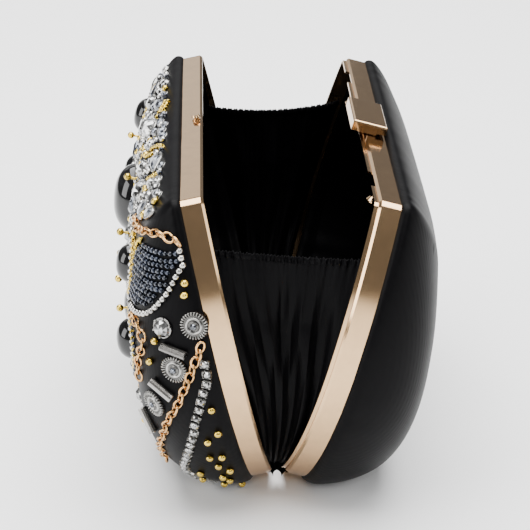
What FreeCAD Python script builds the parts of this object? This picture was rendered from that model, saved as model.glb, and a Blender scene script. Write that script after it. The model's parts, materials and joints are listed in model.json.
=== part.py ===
import FreeCAD, Part
import math
import os

# Beaded evening bag (box clutch) standing open on its underside. Millimetres.
# Each half is built upright with its mating plane at y = 0, growing towards +Y (its outside),
# and its bottom rail at z = HINGE_DROP above the hinge axis, which is the X axis.
# The back half is then leaned back about the hinge axis. The front half is mirrored first.

V = FreeCAD.Vector
X_AXIS = V(1, 0, 0)
Y_AXIS = V(0, 1, 0)
Z_AXIS = V(0, 0, 1)
ORIGIN = V(0, 0, 0)

# How far a cutting shape runs past the part it cuts
PAST = 1.0

# Frame outline, seen square on
FRAME_HEIGHT = 118.0
WAIST_HALF = 90.0
WAIST_HEIGHT = 62.0
UPPER_SIDE_R = 126.0
LOWER_SIDE_R = 75.0
BOTTOM_CORNER_R = 32.0
TOP_CORNER_R = 4.0

# Frame section
BAND_WIDTH = 8.0
BAND_WALL = 1.2
BAND_BEVEL = 0.8
MATING_GAP = 0.15
FLANGE_THICK = 0.8
FLANGE_DEPTH = 2.6
TONGUE_THICK = 0.7
TONGUE_REACH = 1.2
TONGUE_ROOT = 5.0
TONGUE_CLEARANCE = 0.05
RAIL_RELIEF = 1.5
RAIL_RELIEF_HEIGHT = 7.0

# Domed body
DOME_DEPTH = 29.0
DOME_SIDE_POWER = 4.2
DOME_END_POWER = 9.0
DOME_DEPTH_POWER = 1.35
DOME_CENTRE_HEIGHT = 56.0
DOME_BULGE = 1.2
DOME_BULGE_DEPTH = 3.0
DOME_TILT = 0.31
DOME_LIP_DEPTH = 1.0
DOME_LIP_BULGE = 0.84
DOME_SCALES = (1.0, 0.985, 0.95, 0.89, 0.8, 0.68, 0.5, 0.3)
COVER_THICK = 1.0
SHELL_THICK = 1.6
LINING_THICK = 0.6
LINING_GAP = 0.2
LINING_START = 5.4

# Stance
FRONT_LEAN = 12.0
BACK_LEAN = 15.7

# Hinge
HINGE_DROP = 2.2
KNUCKLE_R = 1.5
HINGE_PIN_R = 0.8
PIN_CLEARANCE = 0.05
HINGE_LENGTH = 60.0
KNUCKLE_COUNT = 5
KNUCKLE_GAP = 0.3
LEAF_THICK = 0.8
LEAF_WIDTH = 6.0
LEAF_GAP = 0.3
WEB_LAP = 0.5
WEB_LOW = 0.2
WEB_REACH = 1.2
RIVET_R = 0.9
RIVET_SPACING = 20.0
RIVET_HEAD_R = 1.5
RIVET_HEAD_THICK = 0.6
RIVET_TIP_R = 0.9
RIVET_FLAT_THICK = 0.4

# Clasp
LEVER_LENGTH = 26.0
LEVER_OVERHANG = 5.0
LEVER_REAR = 7.6
LEVER_HEIGHT = 4.2
LEVER_WALL = 0.9
LEVER_LIFT = 0.35
LEVER_EDGE_R = 0.8
LEVER_HEEL = 0.75
LEVER_HEEL_WIDTH = 4.0
LEVER_PIN_Y = 4.2
LEVER_PIN_RISE = 1.9
LEVER_PIN_R = 0.6
LEVER_PIN_INSET = 0.3
BASE_LENGTH = 18.0
BASE_WIDTH = 3.6
BASE_BARREL_R = 1.3
BASE_FLOOR = 0.4
HOOK_THICK = 0.8
HOOK_LENGTH = 6.0
HOOK_GAP = 0.3
CATCH_R = 1.3
CATCH_STEM_R = 1.04
CATCH_COLLAR = 0.4
CATCH_HEAD_R = 1.6
CATCH_RISE = 2.0
CATCH_HEAD_THICK = 0.8
CATCH_Y = 2.2
SPRING_R = 1.1
SPRING_WIRE_R = 0.25
SPRING_COILS = 4
SPRING_PITCH = 1.0
SPRING_SLOT = 5.0
SPRING_SLOT_DEPTH = 8.0

# Strap posts
POST_X = 50.0
POST_Y = 2.9
POST_NECK_R = 1.2
POST_RIM_R = 2.2
POST_COLLAR_R = 2.0
POST_COLLAR = 1.5
POST_NECK = 6.0
POST_FLARE = 1.26
POST_LIP = 0.54
NOTCH_LENGTH = 13.0
NOTCH_X = 54.0
NOTCH_DEPTH = 4.0

# Gussets
GUSSET_TOP = 97.0
GUSSET_BOTTOM = 12.0
GUSSET_INSET = 7.0
GUSSET_DEPTH = 4.0
GUSSET_THICK = 0.8
ELASTIC_THICK = 0.6
ELASTIC_HEIGHT = 4.0
ELASTIC_GAP = 0.3

# Beadwork. The places listed below are drawn on an outline of this half length and height
PATTERN_HALF = 90.0
PATTERN_HEIGHT = 118.0
BEAD_SINK = 0.25
GOLD_R = 1.35
CHAIN_LINK_R = 1.7
CHAIN_LINK_THICK = 1.0
CHAIN_LINK_PITCH = 3.5
CUP_R = 1.6
CUP_HEIGHT = 2.0
CUP_PITCH = 3.7
FLUTED_R = 5.0
FLUTED_HEIGHT = 2.2
FLUTED_RIM = 0.6
FLUTED_HOLLOW = 0.6
FLUTED_HUB_R = 1.8
FLUTED_HUB = 0.9
STONE_CUP = 0.35
STONE_CROWN = 0.4
STONE_TABLE = 0.55
BUGLE_R = 1.5
BUGLE_LENGTH = 9.5
PATCH_RISE = 1.8
PATCH_ROOT = 2.0
SILVER_R = 1.3
SILVER_PITCH = 3.1

# Oval black stones: x, height, half length along height, half width, rise
CABOCHONS = [
    (-6.0, 91.0, 13.0, 10.0, 8.0),
    (-63.0, 102.0, 7.0, 5.5, 5.0),
    (54.0, 91.0, 7.0, 5.5, 5.5),
    (59.0, 65.5, 7.5, 6.2, 6.0),
    (-46.0, 86.0, 7.0, 5.5, 5.5),
    (-59.0, 65.5, 7.5, 6.2, 6.0),
    (0.0, 50.0, 10.0, 7.5, 6.5),
]
# Round clear stones: x, height, radius
ROUND_STONES = [
    (-13.5, 112.3, 4.0), (33.8, 107.5, 3.8), (16.0, 108.5, 3.2), (-33.0, 107.0, 3.2), (-48.0, 111.0, 3.0),
    (85.2, 79.5, 3.2), (-85.2, 79.5, 3.2), (22.0, 74.0, 4.0), (-24.0, 72.0, 4.0), (0.0, 68.5, 3.2),
    (24.0, 36.0, 3.4), (-24.0, 36.0, 3.4), (36.0, 94.0, 3.2),
]
# Pointed oval stones: x, height, turn in degrees from upright
NAVETTES = [
    (-30.0, 115.5, 78.0), (30.5, 115.5, 104.0), (55.0, 109.5, 35.0), (67.5, 112.5, 62.0),
    (-57.0, 112.5, -50.0), (-72.0, 111.0, -62.0), (14.5, 80.5, 38.0), (-27.0, 81.0, -38.0),
    (38.0, 72.0, 62.0), (-38.0, 71.0, -62.0), (14.5, 64.0, 20.0), (-14.5, 64.0, -20.0),
    (30.0, 58.0, -30.0), (-30.0, 58.0, 30.0),
]
NAVETTE_LENGTH = 9.0
NAVETTE_WIDTH = 4.4
NAVETTE_RISE = 2.4
# Fluted round settings: x, height
FLUTED = [
    (89.8, 80.1), (87.6, 65.0), (79.2, 49.8), (-89.8, 80.1), (-87.6, 65.0), (-79.2, 49.8),
    (12.0, 18.0), (-28.0, 18.0),
]
# Bugle beads: x, height, turn in degrees from upright
BUGLES = [
    (87.8, 71.9, 100.0), (84.1, 57.0, 120.0), (71.0, 40.0, 150.0), (-87.8, 71.9, -100.0),
    (-84.1, 57.0, -120.0), (-71.0, 40.0, -150.0), (30.0, 20.0, 82.0), (-8.0, 22.0, 66.0),
]
# Large gold beads on the lower corners and along the underside: x, height
GOLD_SCATTER = [
    (86.9, 94.4), (87.6, 90.6), (83.5, 74.6), (81.5, 66.7), (91.0, 54.5), (90.4, 47.0), (87.8, 39.5),
    (83.6, 32.0), (79.3, 24.4), (72.5, 17.3), (70.6, 10.6), (64.5, 6.2), (-86.9, 94.4), (-87.6, 90.6),
    (-83.5, 74.6), (-81.5, 66.7), (-91.0, 54.5), (-90.4, 47.0), (-87.8, 39.5), (-83.6, 32.0),
    (-79.3, 24.4), (-72.5, 17.3), (-70.6, 10.6), (-64.5, 6.2),
]
GOLD_FEET_X = 40.0
GOLD_FEET_COUNT = 9
GOLD_FEET_DEPTH = 17.0
# Chains, as corner points: x, height
CURB_CHAINS = [
    [(50.0, 103.5), (60.0, 105.0), (72.0, 108.0)],
    [(68.0, 78.0), (75.0, 77.4), (78.0, 72.0), (74.5, 63.0)],
    [(88.6, 58.0), (88.0, 55.8), (85.8, 50.2), (81.2, 43.0), (76.0, 35.8), (66.0, 25.5), (58.0, 16.0)],
    [(-68.0, 78.0), (-75.0, 77.4), (-78.0, 72.0), (-74.5, 63.0)],
    [(-88.6, 58.0), (-88.0, 55.8), (-85.8, 50.2), (-81.2, 43.0), (-76.0, 35.8), (-66.0, 25.5),
     (-58.0, 16.0)],
]
CUP_CHAINS = [
    [(91.0, 58.8), (90.1, 55.1), (88.7, 49.3), (86.7, 43.8), (84.3, 38.0), (80.8, 32.0), (75.8, 25.5),
     (69.4, 19.0), (61.5, 11.5)],
    [(-91.0, 58.8), (-90.1, 55.1), (-88.7, 49.3), (-86.7, 43.8), (-84.3, 38.0), (-80.8, 32.0),
     (-75.8, 25.5), (-69.4, 19.0), (-61.5, 11.5)],
]
# Seed bead fields, as corner points: x, height
SEED_FIELDS = [
    [(67.5, 96.0), (70.0, 103.0), (79.0, 104.0), (82.8, 102.0), (82.5, 93.0), (79.0, 86.5), (67.5, 85.5)],
    [(-67.5, 85.5), (-79.0, 86.5), (-82.5, 93.0), (-82.8, 102.0), (-79.0, 104.0), (-70.0, 103.0),
     (-67.5, 96.0)],
]
SILVER_ROWS = [
    [(85.3, 102.0), (85.4, 95.0), (84.6, 89.6), (82.0, 84.5), (76.0, 82.0), (68.0, 81.9)],
    [(-85.3, 102.0), (-85.4, 95.0), (-84.6, 89.6), (-82.0, 84.5), (-76.0, 82.0), (-68.0, 81.9)],
]


# ---------------------------------------------------------------- outline

def outline_centres():
    """Centres of the bottom corner, lower side and upper side arcs."""
    lower = (WAIST_HALF - LOWER_SIDE_R, WAIST_HEIGHT)
    upper = (WAIST_HALF - UPPER_SIDE_R, WAIST_HEIGHT)
    rise = WAIST_HEIGHT - BOTTOM_CORNER_R
    run = math.sqrt((LOWER_SIDE_R - BOTTOM_CORNER_R) ** 2 - rise ** 2)
    bottom = (lower[0] + run, BOTTOM_CORNER_R)
    return bottom, lower, upper


def polar(centre, radius, angle):
    """Point at an angle on a circle, as (x, height)."""
    return centre[0] + radius * math.cos(angle), centre[1] + radius * math.sin(angle)


def outline_arcs(inset):
    """Right-hand outline from bottom to top: each entry is (start, middle, end) in (x, height)."""
    bottom, lower, upper = outline_centres()
    join = math.atan2(bottom[1] - lower[1], bottom[0] - lower[0])
    corner_r = max(TOP_CORNER_R - inset, 1.0)
    upper_r = UPPER_SIDE_R - inset
    corner_h = FRAME_HEIGHT - inset - corner_r
    corner_x = upper[0] + math.sqrt((upper_r - corner_r) ** 2 - (corner_h - upper[1]) ** 2)
    top = math.atan2(corner_h - upper[1], corner_x - upper[0])
    spans = [
        (bottom, BOTTOM_CORNER_R - inset, -math.pi / 2, join),
        (lower, LOWER_SIDE_R - inset, join, 0.0),
        (upper, upper_r, 0.0, top),
        ((corner_x, corner_h), corner_r, top, math.pi / 2),
    ]
    return [(polar(c, r, a), polar(c, r, (a + b) / 2), polar(c, r, b)) for c, r, a, b in spans]


def outline_wire(inset, place):
    """Closed outline moved inwards by inset. place turns (x, height) into a point."""
    right = outline_arcs(inset)
    left = [tuple((-x, h) for x, h in reversed(arc)) for arc in reversed(right)]
    edges = []
    for arcs in (right, left):
        for start, middle, end in arcs:
            edges.append(Part.Arc(place(*start), place(*middle), place(*end)).toShape())
        across = (-arcs[-1][2][0], arcs[-1][2][1])
        edges.append(Part.LineSegment(place(*arcs[-1][2]), place(*across)).toShape())
    return Part.Wire(edges)


def flat_wire(inset, depth):
    """Outline in the plane y = depth."""
    return outline_wire(inset, lambda x, h: V(x, depth, h + HINGE_DROP))


def prism(inset, start, end):
    """Outline carried straight from y = start to y = end."""
    return Part.Face(flat_wire(inset, start)).extrude(V(0, end - start, 0))


def half_width(h):
    """Half length of the outline at a height, without the small top corner."""
    bottom, lower, upper = outline_centres()
    join_h = lower[1] + LOWER_SIDE_R * math.sin(math.atan2(bottom[1] - lower[1], bottom[0] - lower[0]))
    if h >= WAIST_HEIGHT:
        return upper[0] + math.sqrt(UPPER_SIDE_R ** 2 - (h - upper[1]) ** 2)
    if h >= join_h:
        return lower[0] + math.sqrt(LOWER_SIDE_R ** 2 - (h - lower[1]) ** 2)
    return bottom[0] + math.sqrt(max(BOTTOM_CORNER_R ** 2 - (bottom[1] - h) ** 2, 0.0))


# ---------------------------------------------------------------- dome

def end_scale(scale):
    """Scale along the length that goes with a scale in height: the ends stand up more squarely."""
    return scale ** (DOME_SIDE_POWER / DOME_END_POWER)


def dome_section(inset, scale, bulge, depth):
    """One section of the dome: the outline scaled about its centre, deeper at its lower edge."""
    tilt = math.atan(depth * DOME_TILT / WAIST_HEIGHT)

    def place(x, h):
        x = x * end_scale(scale)
        rise = DOME_CENTRE_HEIGHT + (h - DOME_CENTRE_HEIGHT) * scale - WAIST_HEIGHT
        y = BAND_WIDTH + depth - rise * math.sin(tilt)
        return V(x, y, WAIST_HEIGHT + rise * math.cos(tilt) + HINGE_DROP)

    return outline_wire(inset - bulge, place)


def dome(inset, start):
    """Closed dome standing on the frame's outer edge, inset all over, with a root from y = start."""
    reach = DOME_DEPTH - DOME_BULGE_DEPTH - inset
    sections = [dome_section(inset, 1.0, 0.0, 0.0), dome_section(inset, 1.0, DOME_LIP_BULGE, DOME_LIP_DEPTH)]
    for scale in DOME_SCALES:
        share = (1.0 - scale ** DOME_SIDE_POWER) ** (1.0 / DOME_DEPTH_POWER)
        sections.append(dome_section(inset, scale, DOME_BULGE, DOME_BULGE_DEPTH + reach * share))
    body = Part.makeLoft(sections, True, True)
    if start < BAND_WIDTH:
        body = body.fuse(prism(inset, start, BAND_WIDTH)).removeSplitter()
    return body


def dome_layer(outer_inset, inner_inset, start=BAND_WIDTH):
    """Skin between two insets of the dome, open towards the mating plane."""
    return dome(outer_inset, start).cut(dome(inner_inset, start - PAST))


def dome_scale(x, h):
    """Scale of the dome's section through (x, height): near 0 in the middle and 1 at the rim."""
    low = 0.001
    high = 1.6
    for _ in range(40):
        middle = (low + high) / 2
        px = abs(x / end_scale(middle))
        ph = DOME_CENTRE_HEIGHT + (h - DOME_CENTRE_HEIGHT) / middle
        inside = -DOME_BULGE <= ph <= FRAME_HEIGHT + DOME_BULGE and px <= half_width(ph) + DOME_BULGE
        if inside:
            high = middle
        else:
            low = middle
    return high


def on_dome(x, h):
    """Point on the dome's outside at (x, height). A point past the rim is brought back to it."""
    scale = dome_scale(x, h)
    if scale > 1.0:
        x = x / end_scale(scale)
        h = DOME_CENTRE_HEIGHT + (h - DOME_CENTRE_HEIGHT) / scale
        scale = 1.0
    depth = (1.0 - scale ** DOME_SIDE_POWER) ** (1.0 / DOME_DEPTH_POWER)
    depth = DOME_BULGE_DEPTH + (DOME_DEPTH - DOME_BULGE_DEPTH) * depth
    y = BAND_WIDTH + depth * (1.0 + DOME_TILT * (WAIST_HEIGHT - h) / WAIST_HEIGHT)
    return V(x, y, h + HINGE_DROP)


def dome_normal(x, h):
    """Outward direction of the dome at (x, height)."""
    step = 0.5
    inner = 1.0 - step / WAIST_HALF
    x = x * inner
    h = DOME_CENTRE_HEIGHT + (h - DOME_CENTRE_HEIGHT) * inner
    across = on_dome(x + step, h) - on_dome(x - step, h)
    upward = on_dome(x, h + step) - on_dome(x, h - step)
    normal = upward.cross(across)
    return normal.normalize()


def drawn(x, h):
    """Place on this outline that goes with a place listed in the pattern, as (x, height)."""
    return x * WAIST_HALF / PATTERN_HALF, h * FRAME_HEIGHT / PATTERN_HEIGHT


def seat(shape, x, h, turn=0.0):
    """Stand a shape, built along +Z from z = 0 with its length along Y, on the dome at (x, height)."""
    normal = dome_normal(x, h)
    shape = shape.copy()
    shape.rotate(ORIGIN, Z_AXIS, turn)
    side = Z_AXIS.cross(normal)
    side.normalize()
    along = normal.cross(side)
    frame = FreeCAD.Matrix(
        side.x, along.x, normal.x, 0,
        side.y, along.y, normal.y, 0,
        side.z, along.z, normal.z, 0,
        0, 0, 0, 1)
    place = FreeCAD.Placement(frame)
    place.Base = on_dome(x, h) - normal * BEAD_SINK
    shape.Placement = place.multiply(shape.Placement)
    return shape


def walk(points, pitch):
    """Evenly spaced (x, height, direction in degrees) along a chain of corner points."""
    spots = []
    spare = 0.0
    points = [drawn(x, h) for x, h in points]
    for (x0, h0), (x1, h1) in zip(points, points[1:]):
        start = on_dome(x0, h0)
        end = on_dome(x1, h1)
        run = (end - start).Length
        angle = math.degrees(math.atan2(x1 - x0, h1 - h0))
        at = spare
        while at <= run:
            share = at / run
            spots.append((x0 + (x1 - x0) * share, h0 + (h1 - h0) * share, angle))
            at += pitch
        spare = at - run
    return spots


def group(shapes):
    """Separate solids kept as one node."""
    return Part.Compound([solid for shape in shapes for solid in shape.Solids])


def ellipsoid(length, width, rise):
    """Half ellipsoid on z = 0, length along Y."""
    ball = Part.makeSphere(1.0, ORIGIN, Z_AXIS, 0, 90, 360)
    matrix = FreeCAD.Matrix()
    matrix.scale(width, length, rise)
    return ball.transformGeometry(matrix)


# ---------------------------------------------------------------- frames

def make_band():
    """Metal band round the mating edge: bevelled edge, wall, and a flange that carries the body."""
    bevel_end = MATING_GAP + BAND_BEVEL
    bevel = Part.makeLoft([flat_wire(BAND_BEVEL, MATING_GAP), flat_wire(0.0, bevel_end)], True, True)
    band = bevel.fuse(prism(0.0, bevel_end, BAND_WIDTH))
    band = band.cut(prism(BAND_WALL, MATING_GAP - PAST, BAND_WIDTH - FLANGE_THICK))
    band = band.cut(prism(FLANGE_DEPTH, MATING_GAP - PAST, BAND_WIDTH + PAST))
    return band.cut(rail_relief())


def rail_relief():
    """Space cut back from the mating edge along the bottom rail, where the cloth folds."""
    corner = V(-WAIST_HALF, -RAIL_RELIEF, HINGE_DROP - PAST)
    return Part.makeBox(2 * WAIST_HALF, 2 * RAIL_RELIEF, RAIL_RELIEF_HEIGHT + PAST, corner)


def rivet_places():
    """Rivet positions along the hinge leaf."""
    return [RIVET_SPACING * i for i in (-1, 0, 1)]


def leaf_start():
    """Distance of the hinge leaf from the mating plane."""
    return RAIL_RELIEF + LEAF_GAP


def leaf_middle():
    """Distance of the rivets from the mating plane."""
    return leaf_start() + LEAF_WIDTH / 2


def drill_rivets(shape):
    """Rivet holes through the bottom rail or the leaf."""
    for x in rivet_places():
        low = V(x, leaf_middle(), HINGE_DROP - LEAF_THICK - PAST)
        depth = LEAF_THICK + BAND_WALL + 2 * PAST
        shape = shape.cut(Part.makeCylinder(RIVET_R + PIN_CLEARANCE, depth, low, Z_AXIS))
    return shape


def make_tongue():
    """Thin strip inside the back band that enters the front band when the bag shuts."""
    outer = BAND_WALL + TONGUE_CLEARANCE
    tongue = prism(outer, -TONGUE_REACH, TONGUE_ROOT)
    tongue = tongue.cut(prism(outer + TONGUE_THICK, -TONGUE_REACH - PAST, TONGUE_ROOT + PAST))
    length = TONGUE_REACH + TONGUE_ROOT + 2 * PAST
    floor_cut = Part.makeBox(2 * WAIST_HALF, length, RAIL_RELIEF_HEIGHT + PAST,
                             V(-WAIST_HALF, -TONGUE_REACH - PAST, HINGE_DROP - PAST))
    tongue = tongue.cut(floor_cut)
    for side in (-1, 1):
        corner = V(side * NOTCH_X - NOTCH_LENGTH / 2, -TONGUE_REACH - PAST,
                   HINGE_DROP + FRAME_HEIGHT - NOTCH_DEPTH)
        notch = Part.makeBox(NOTCH_LENGTH, length, NOTCH_DEPTH + PAST, corner)
        tongue = tongue.cut(notch)
    return Part.Compound(tongue.Solids)


# ---------------------------------------------------------------- hinge

def knuckle_spans(odd):
    """Start and length of each knuckle on the odd or even places along the hinge."""
    pitch = HINGE_LENGTH / KNUCKLE_COUNT
    spans = []
    for i in range(KNUCKLE_COUNT):
        if i % 2 == odd:
            spans.append((-HINGE_LENGTH / 2 + i * pitch + KNUCKLE_GAP / 2, pitch - KNUCKLE_GAP))
    return spans


def make_leaf(odd):
    """Hinge leaf under the bottom rail with its knuckles round the hinge axis."""
    top = HINGE_DROP
    start = leaf_start()
    corner = V(-HINGE_LENGTH / 2, start, top - LEAF_THICK)
    plate = Part.makeBox(HINGE_LENGTH, LEAF_WIDTH, LEAF_THICK, corner)
    shapes = [plate]
    for x, length in knuckle_spans(odd):
        shapes.append(Part.makeCylinder(KNUCKLE_R, length, V(x, 0, 0), X_AXIS))
        web = Part.makePolygon([
            V(x, 0.0, KNUCKLE_R), V(x, start + WEB_LAP, top), V(x, start + WEB_LAP, top - LEAF_THICK),
            V(x, WEB_REACH, WEB_LOW), V(x, 0.0, WEB_LOW), V(x, 0.0, KNUCKLE_R)])
        shapes.append(Part.Face(web).extrude(V(length, 0, 0)))
    leaf = shapes[0].fuse(shapes[1:]).removeSplitter()
    bore = Part.makeCylinder(HINGE_PIN_R + PIN_CLEARANCE, HINGE_LENGTH + 2 * PAST,
                             V(-HINGE_LENGTH / 2 - PAST, 0, 0), X_AXIS)
    return drill_rivets(leaf.cut(bore))


def make_rivets():
    """Rivets with a domed head under the leaf and a flat head inside the rail."""
    rivets = []
    for x in rivet_places():
        bottom = V(x, leaf_middle(), HINGE_DROP - LEAF_THICK)
        shank = Part.makeCylinder(RIVET_R, LEAF_THICK + BAND_WALL, bottom, Z_AXIS)
        low = Part.makeCone(RIVET_TIP_R, RIVET_HEAD_R, RIVET_HEAD_THICK,
                            bottom - V(0, 0, RIVET_HEAD_THICK), Z_AXIS)
        top = bottom + V(0, 0, LEAF_THICK + BAND_WALL)
        high = Part.makeCylinder(RIVET_HEAD_R, RIVET_FLAT_THICK, top, Z_AXIS)
        rivets.append(shank.fuse([low, high]).removeSplitter())
    return rivets


def make_hinge_pin():
    """Pin through all the knuckles."""
    return Part.makeCylinder(HINGE_PIN_R, HINGE_LENGTH, V(-HINGE_LENGTH / 2, 0, 0), X_AXIS)


# ---------------------------------------------------------------- clasp

def rail_top():
    """Height of the top rail's outer face above the hinge axis."""
    return HINGE_DROP + FRAME_HEIGHT


def pin_height():
    """Height of the clasp pin above the hinge axis."""
    return rail_top() + LEVER_PIN_RISE


def make_catch():
    """Headed stud on the front frame's top rail."""
    foot = V(0, CATCH_Y, rail_top())
    stem = Part.makeCylinder(CATCH_STEM_R, CATCH_RISE, foot, Z_AXIS)
    collar = Part.makeCylinder(CATCH_HEAD_R, CATCH_COLLAR, foot, Z_AXIS)
    head_low = foot + V(0, 0, CATCH_RISE - CATCH_HEAD_THICK)
    head = Part.makeCone(CATCH_HEAD_R, CATCH_R, CATCH_HEAD_THICK, head_low, Z_AXIS)
    return stem.fuse([collar, head]).removeSplitter()


def make_clasp_base():
    """Block on the back rail that carries the clasp pin."""
    low = V(-BASE_LENGTH / 2, LEVER_PIN_Y - BASE_WIDTH / 2, rail_top())
    block = Part.makeBox(BASE_LENGTH, BASE_WIDTH, LEVER_PIN_RISE, low)
    barrel = Part.makeCylinder(BASE_BARREL_R, BASE_LENGTH, V(-BASE_LENGTH / 2, LEVER_PIN_Y, pin_height()),
                               X_AXIS)
    block = block.fuse(barrel).removeSplitter()
    corner = V(-SPRING_SLOT / 2, LEVER_PIN_Y - SPRING_SLOT_DEPTH / 2, rail_top() + BASE_FLOOR)
    block = block.cut(Part.makeBox(SPRING_SLOT, SPRING_SLOT_DEPTH, SPRING_SLOT_DEPTH, corner))
    bore = Part.makeCylinder(LEVER_PIN_R + PIN_CLEARANCE, BASE_LENGTH + 2 * PAST,
                             V(-BASE_LENGTH / 2 - PAST, LEVER_PIN_Y, pin_height()), X_AXIS)
    return block.cut(bore)


def make_lever():
    """Box-shaped rocking cover, open underneath, with a hook bar behind the catch stud."""
    length = LEVER_LENGTH
    width = LEVER_OVERHANG + LEVER_REAR
    height = LEVER_HEIGHT - LEVER_LIFT
    low = rail_top() + LEVER_LIFT
    outer = Part.makeBox(length, width, height, V(-length / 2, -LEVER_OVERHANG, low))
    long_edges = [e for e in outer.Edges if e.BoundBox.ZMin > low + height / 2]
    outer = outer.makeFillet(LEVER_EDGE_R, long_edges)
    corner = V(-length / 2 + LEVER_WALL, -LEVER_OVERHANG + LEVER_WALL, low - PAST)
    inner = Part.makeBox(length - 2 * LEVER_WALL, width - 2 * LEVER_WALL, height - LEVER_WALL + PAST, corner)
    corner = V(-length / 2 - PAST, LEVER_PIN_Y, low - PAST)
    heel = Part.makeBox(length + 2 * PAST, LEVER_HEEL_WIDTH, LEVER_HEEL + PAST, corner)
    corner = V(-HOOK_LENGTH / 2, 0.0, low + HOOK_GAP)
    hook = Part.makeBox(HOOK_LENGTH, HOOK_THICK, height - 2 * HOOK_GAP, corner)
    lever = outer.cut(inner).cut(heel).fuse(hook).removeSplitter()
    return lever.cut(lever_pin_rod())


def lever_pin_rod():
    """Rod on the clasp's axis, ending inside the lever's end walls."""
    length = LEVER_LENGTH - 2 * LEVER_PIN_INSET
    return Part.makeCylinder(LEVER_PIN_R, length, V(-length / 2, LEVER_PIN_Y, pin_height()), X_AXIS)


def make_clasp_pin():
    """Pin held in the lever's end walls."""
    return lever_pin_rod()


def make_clasp_spring():
    """Torsion spring in the slot of the base: coils round the pin."""
    rings = []
    for i in range(SPRING_COILS):
        x = (i - (SPRING_COILS - 1) / 2) * SPRING_PITCH
        ring = Part.makeTorus(SPRING_R, SPRING_WIRE_R, V(x, LEVER_PIN_Y, pin_height()), X_AXIS)
        rings.append(ring)
    return rings


# ---------------------------------------------------------------- strap posts

def make_post(side):
    """Flared post hanging under the top rail, for a strap's end ring."""
    top = V(side * POST_X, POST_Y, rail_top() - BAND_WALL)
    down = V(0, 0, -1)
    collar = Part.makeCylinder(POST_COLLAR_R, POST_COLLAR, top, down)
    neck = Part.makeCylinder(POST_NECK_R, POST_COLLAR + POST_NECK, top, down)
    rim_top = top + down * (POST_COLLAR + POST_NECK)
    rim = Part.makeCone(POST_NECK_R, POST_RIM_R, POST_FLARE, rim_top, down)
    lip = Part.makeCylinder(POST_RIM_R, POST_LIP, rim_top + down * POST_FLARE, down)
    return collar.fuse([neck, rim, lip]).removeSplitter()


# ---------------------------------------------------------------- beadwork

def make_cabochons():
    """Polished oval stones."""
    return [seat(ellipsoid(length, width, rise), *drawn(x, h)) for x, h, length, width, rise in CABOCHONS]


def make_round_stones():
    """Faceted round stones in cups: a cup below and a cut crown above."""
    stones = []
    for x, h, radius in ROUND_STONES:
        cup = Part.makeCylinder(radius, radius * STONE_CUP, ORIGIN, Z_AXIS)
        girdle = V(0, 0, radius * STONE_CUP)
        crown = Part.makeCone(radius, radius * STONE_TABLE, radius * STONE_CROWN, girdle, Z_AXIS)
        stones.append(seat(cup.fuse(crown).removeSplitter(), *drawn(x, h)))
    return stones


def make_navettes():
    """Pointed oval stones."""
    half = NAVETTE_LENGTH / 2
    wide = NAVETTE_WIDTH / 2
    right = Part.Arc(V(0, -half, 0), V(wide, 0, 0), V(0, half, 0)).toShape()
    left = Part.Arc(V(0, half, 0), V(-wide, 0, 0), V(0, -half, 0)).toShape()
    base = Part.Face(Part.Wire([right, left])).extrude(V(0, 0, NAVETTE_RISE))
    return [seat(base, *drawn(x, h), turn) for x, h, turn in NAVETTES]


def make_fluted():
    """Round metal settings with a raised rim and a raised middle."""
    ring = Part.makeCylinder(FLUTED_R, FLUTED_HEIGHT, ORIGIN, Z_AXIS)
    floor = V(0, 0, FLUTED_HEIGHT - FLUTED_HOLLOW)
    hollow = Part.makeCylinder(FLUTED_R - FLUTED_RIM, FLUTED_HEIGHT, floor, Z_AXIS)
    hub = Part.makeCylinder(FLUTED_HUB_R, FLUTED_HUB, floor, Z_AXIS)
    setting = ring.cut(hollow).fuse(hub).removeSplitter()
    return [seat(setting, *drawn(x, h)) for x, h in FLUTED]


def make_bugles():
    """Short glass tubes lying on the cloth."""
    tube = Part.makeCylinder(BUGLE_R, BUGLE_LENGTH, V(0, -BUGLE_LENGTH / 2, BUGLE_R), Y_AXIS)
    return [seat(tube, *drawn(x, h), turn) for x, h, turn in BUGLES]


def make_gold_scatter():
    """Gold beads over the lower corners."""
    bead = Part.makeSphere(GOLD_R, V(0, 0, GOLD_R))
    return [seat(bead, *drawn(x, h)) for x, h in GOLD_SCATTER]


def foot_spots():
    """Places along the length of the beads that the front half stands on."""
    reach = GOLD_FEET_X * WAIST_HALF / PATTERN_HALF
    gap = 2 * reach / (GOLD_FEET_COUNT - 1)
    return [-reach + gap * i for i in range(GOLD_FEET_COUNT)]


def make_gold_feet():
    """Row of gold beads under the front half, which it stands on."""
    beads = []
    for x in foot_spots():
        low = 0.0
        high = DOME_CENTRE_HEIGHT
        for _ in range(30):
            middle = (low + high) / 2
            if on_dome(x, middle).y - BAND_WIDTH < GOLD_FEET_DEPTH:
                low = middle
            else:
                high = middle
        beads.append(seat(Part.makeSphere(GOLD_R, V(0, 0, GOLD_R)), x, low))
    return beads


def make_silver_beads():
    """Rows of silver beads along the edge of the seed bead fields."""
    bead = Part.makeSphere(SILVER_R, V(0, 0, SILVER_R))
    return [seat(bead, x, h) for row in SILVER_ROWS for x, h, _ in walk(row, SILVER_PITCH)]


def make_curb_chains():
    """Flat curb chains, one plate for each link."""
    link = Part.makeCylinder(CHAIN_LINK_R, CHAIN_LINK_THICK, ORIGIN, Z_AXIS)
    return [seat(link, x, h) for row in CURB_CHAINS for x, h, _ in walk(row, CHAIN_LINK_PITCH)]


def make_cup_chains():
    """Rhinestone cup chains, one cup for each stone."""
    cup = Part.makeCylinder(CUP_R, CUP_HEIGHT, ORIGIN, Z_AXIS)
    return [seat(cup, x, h) for row in CUP_CHAINS for x, h, _ in walk(row, CUP_PITCH)]


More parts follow.
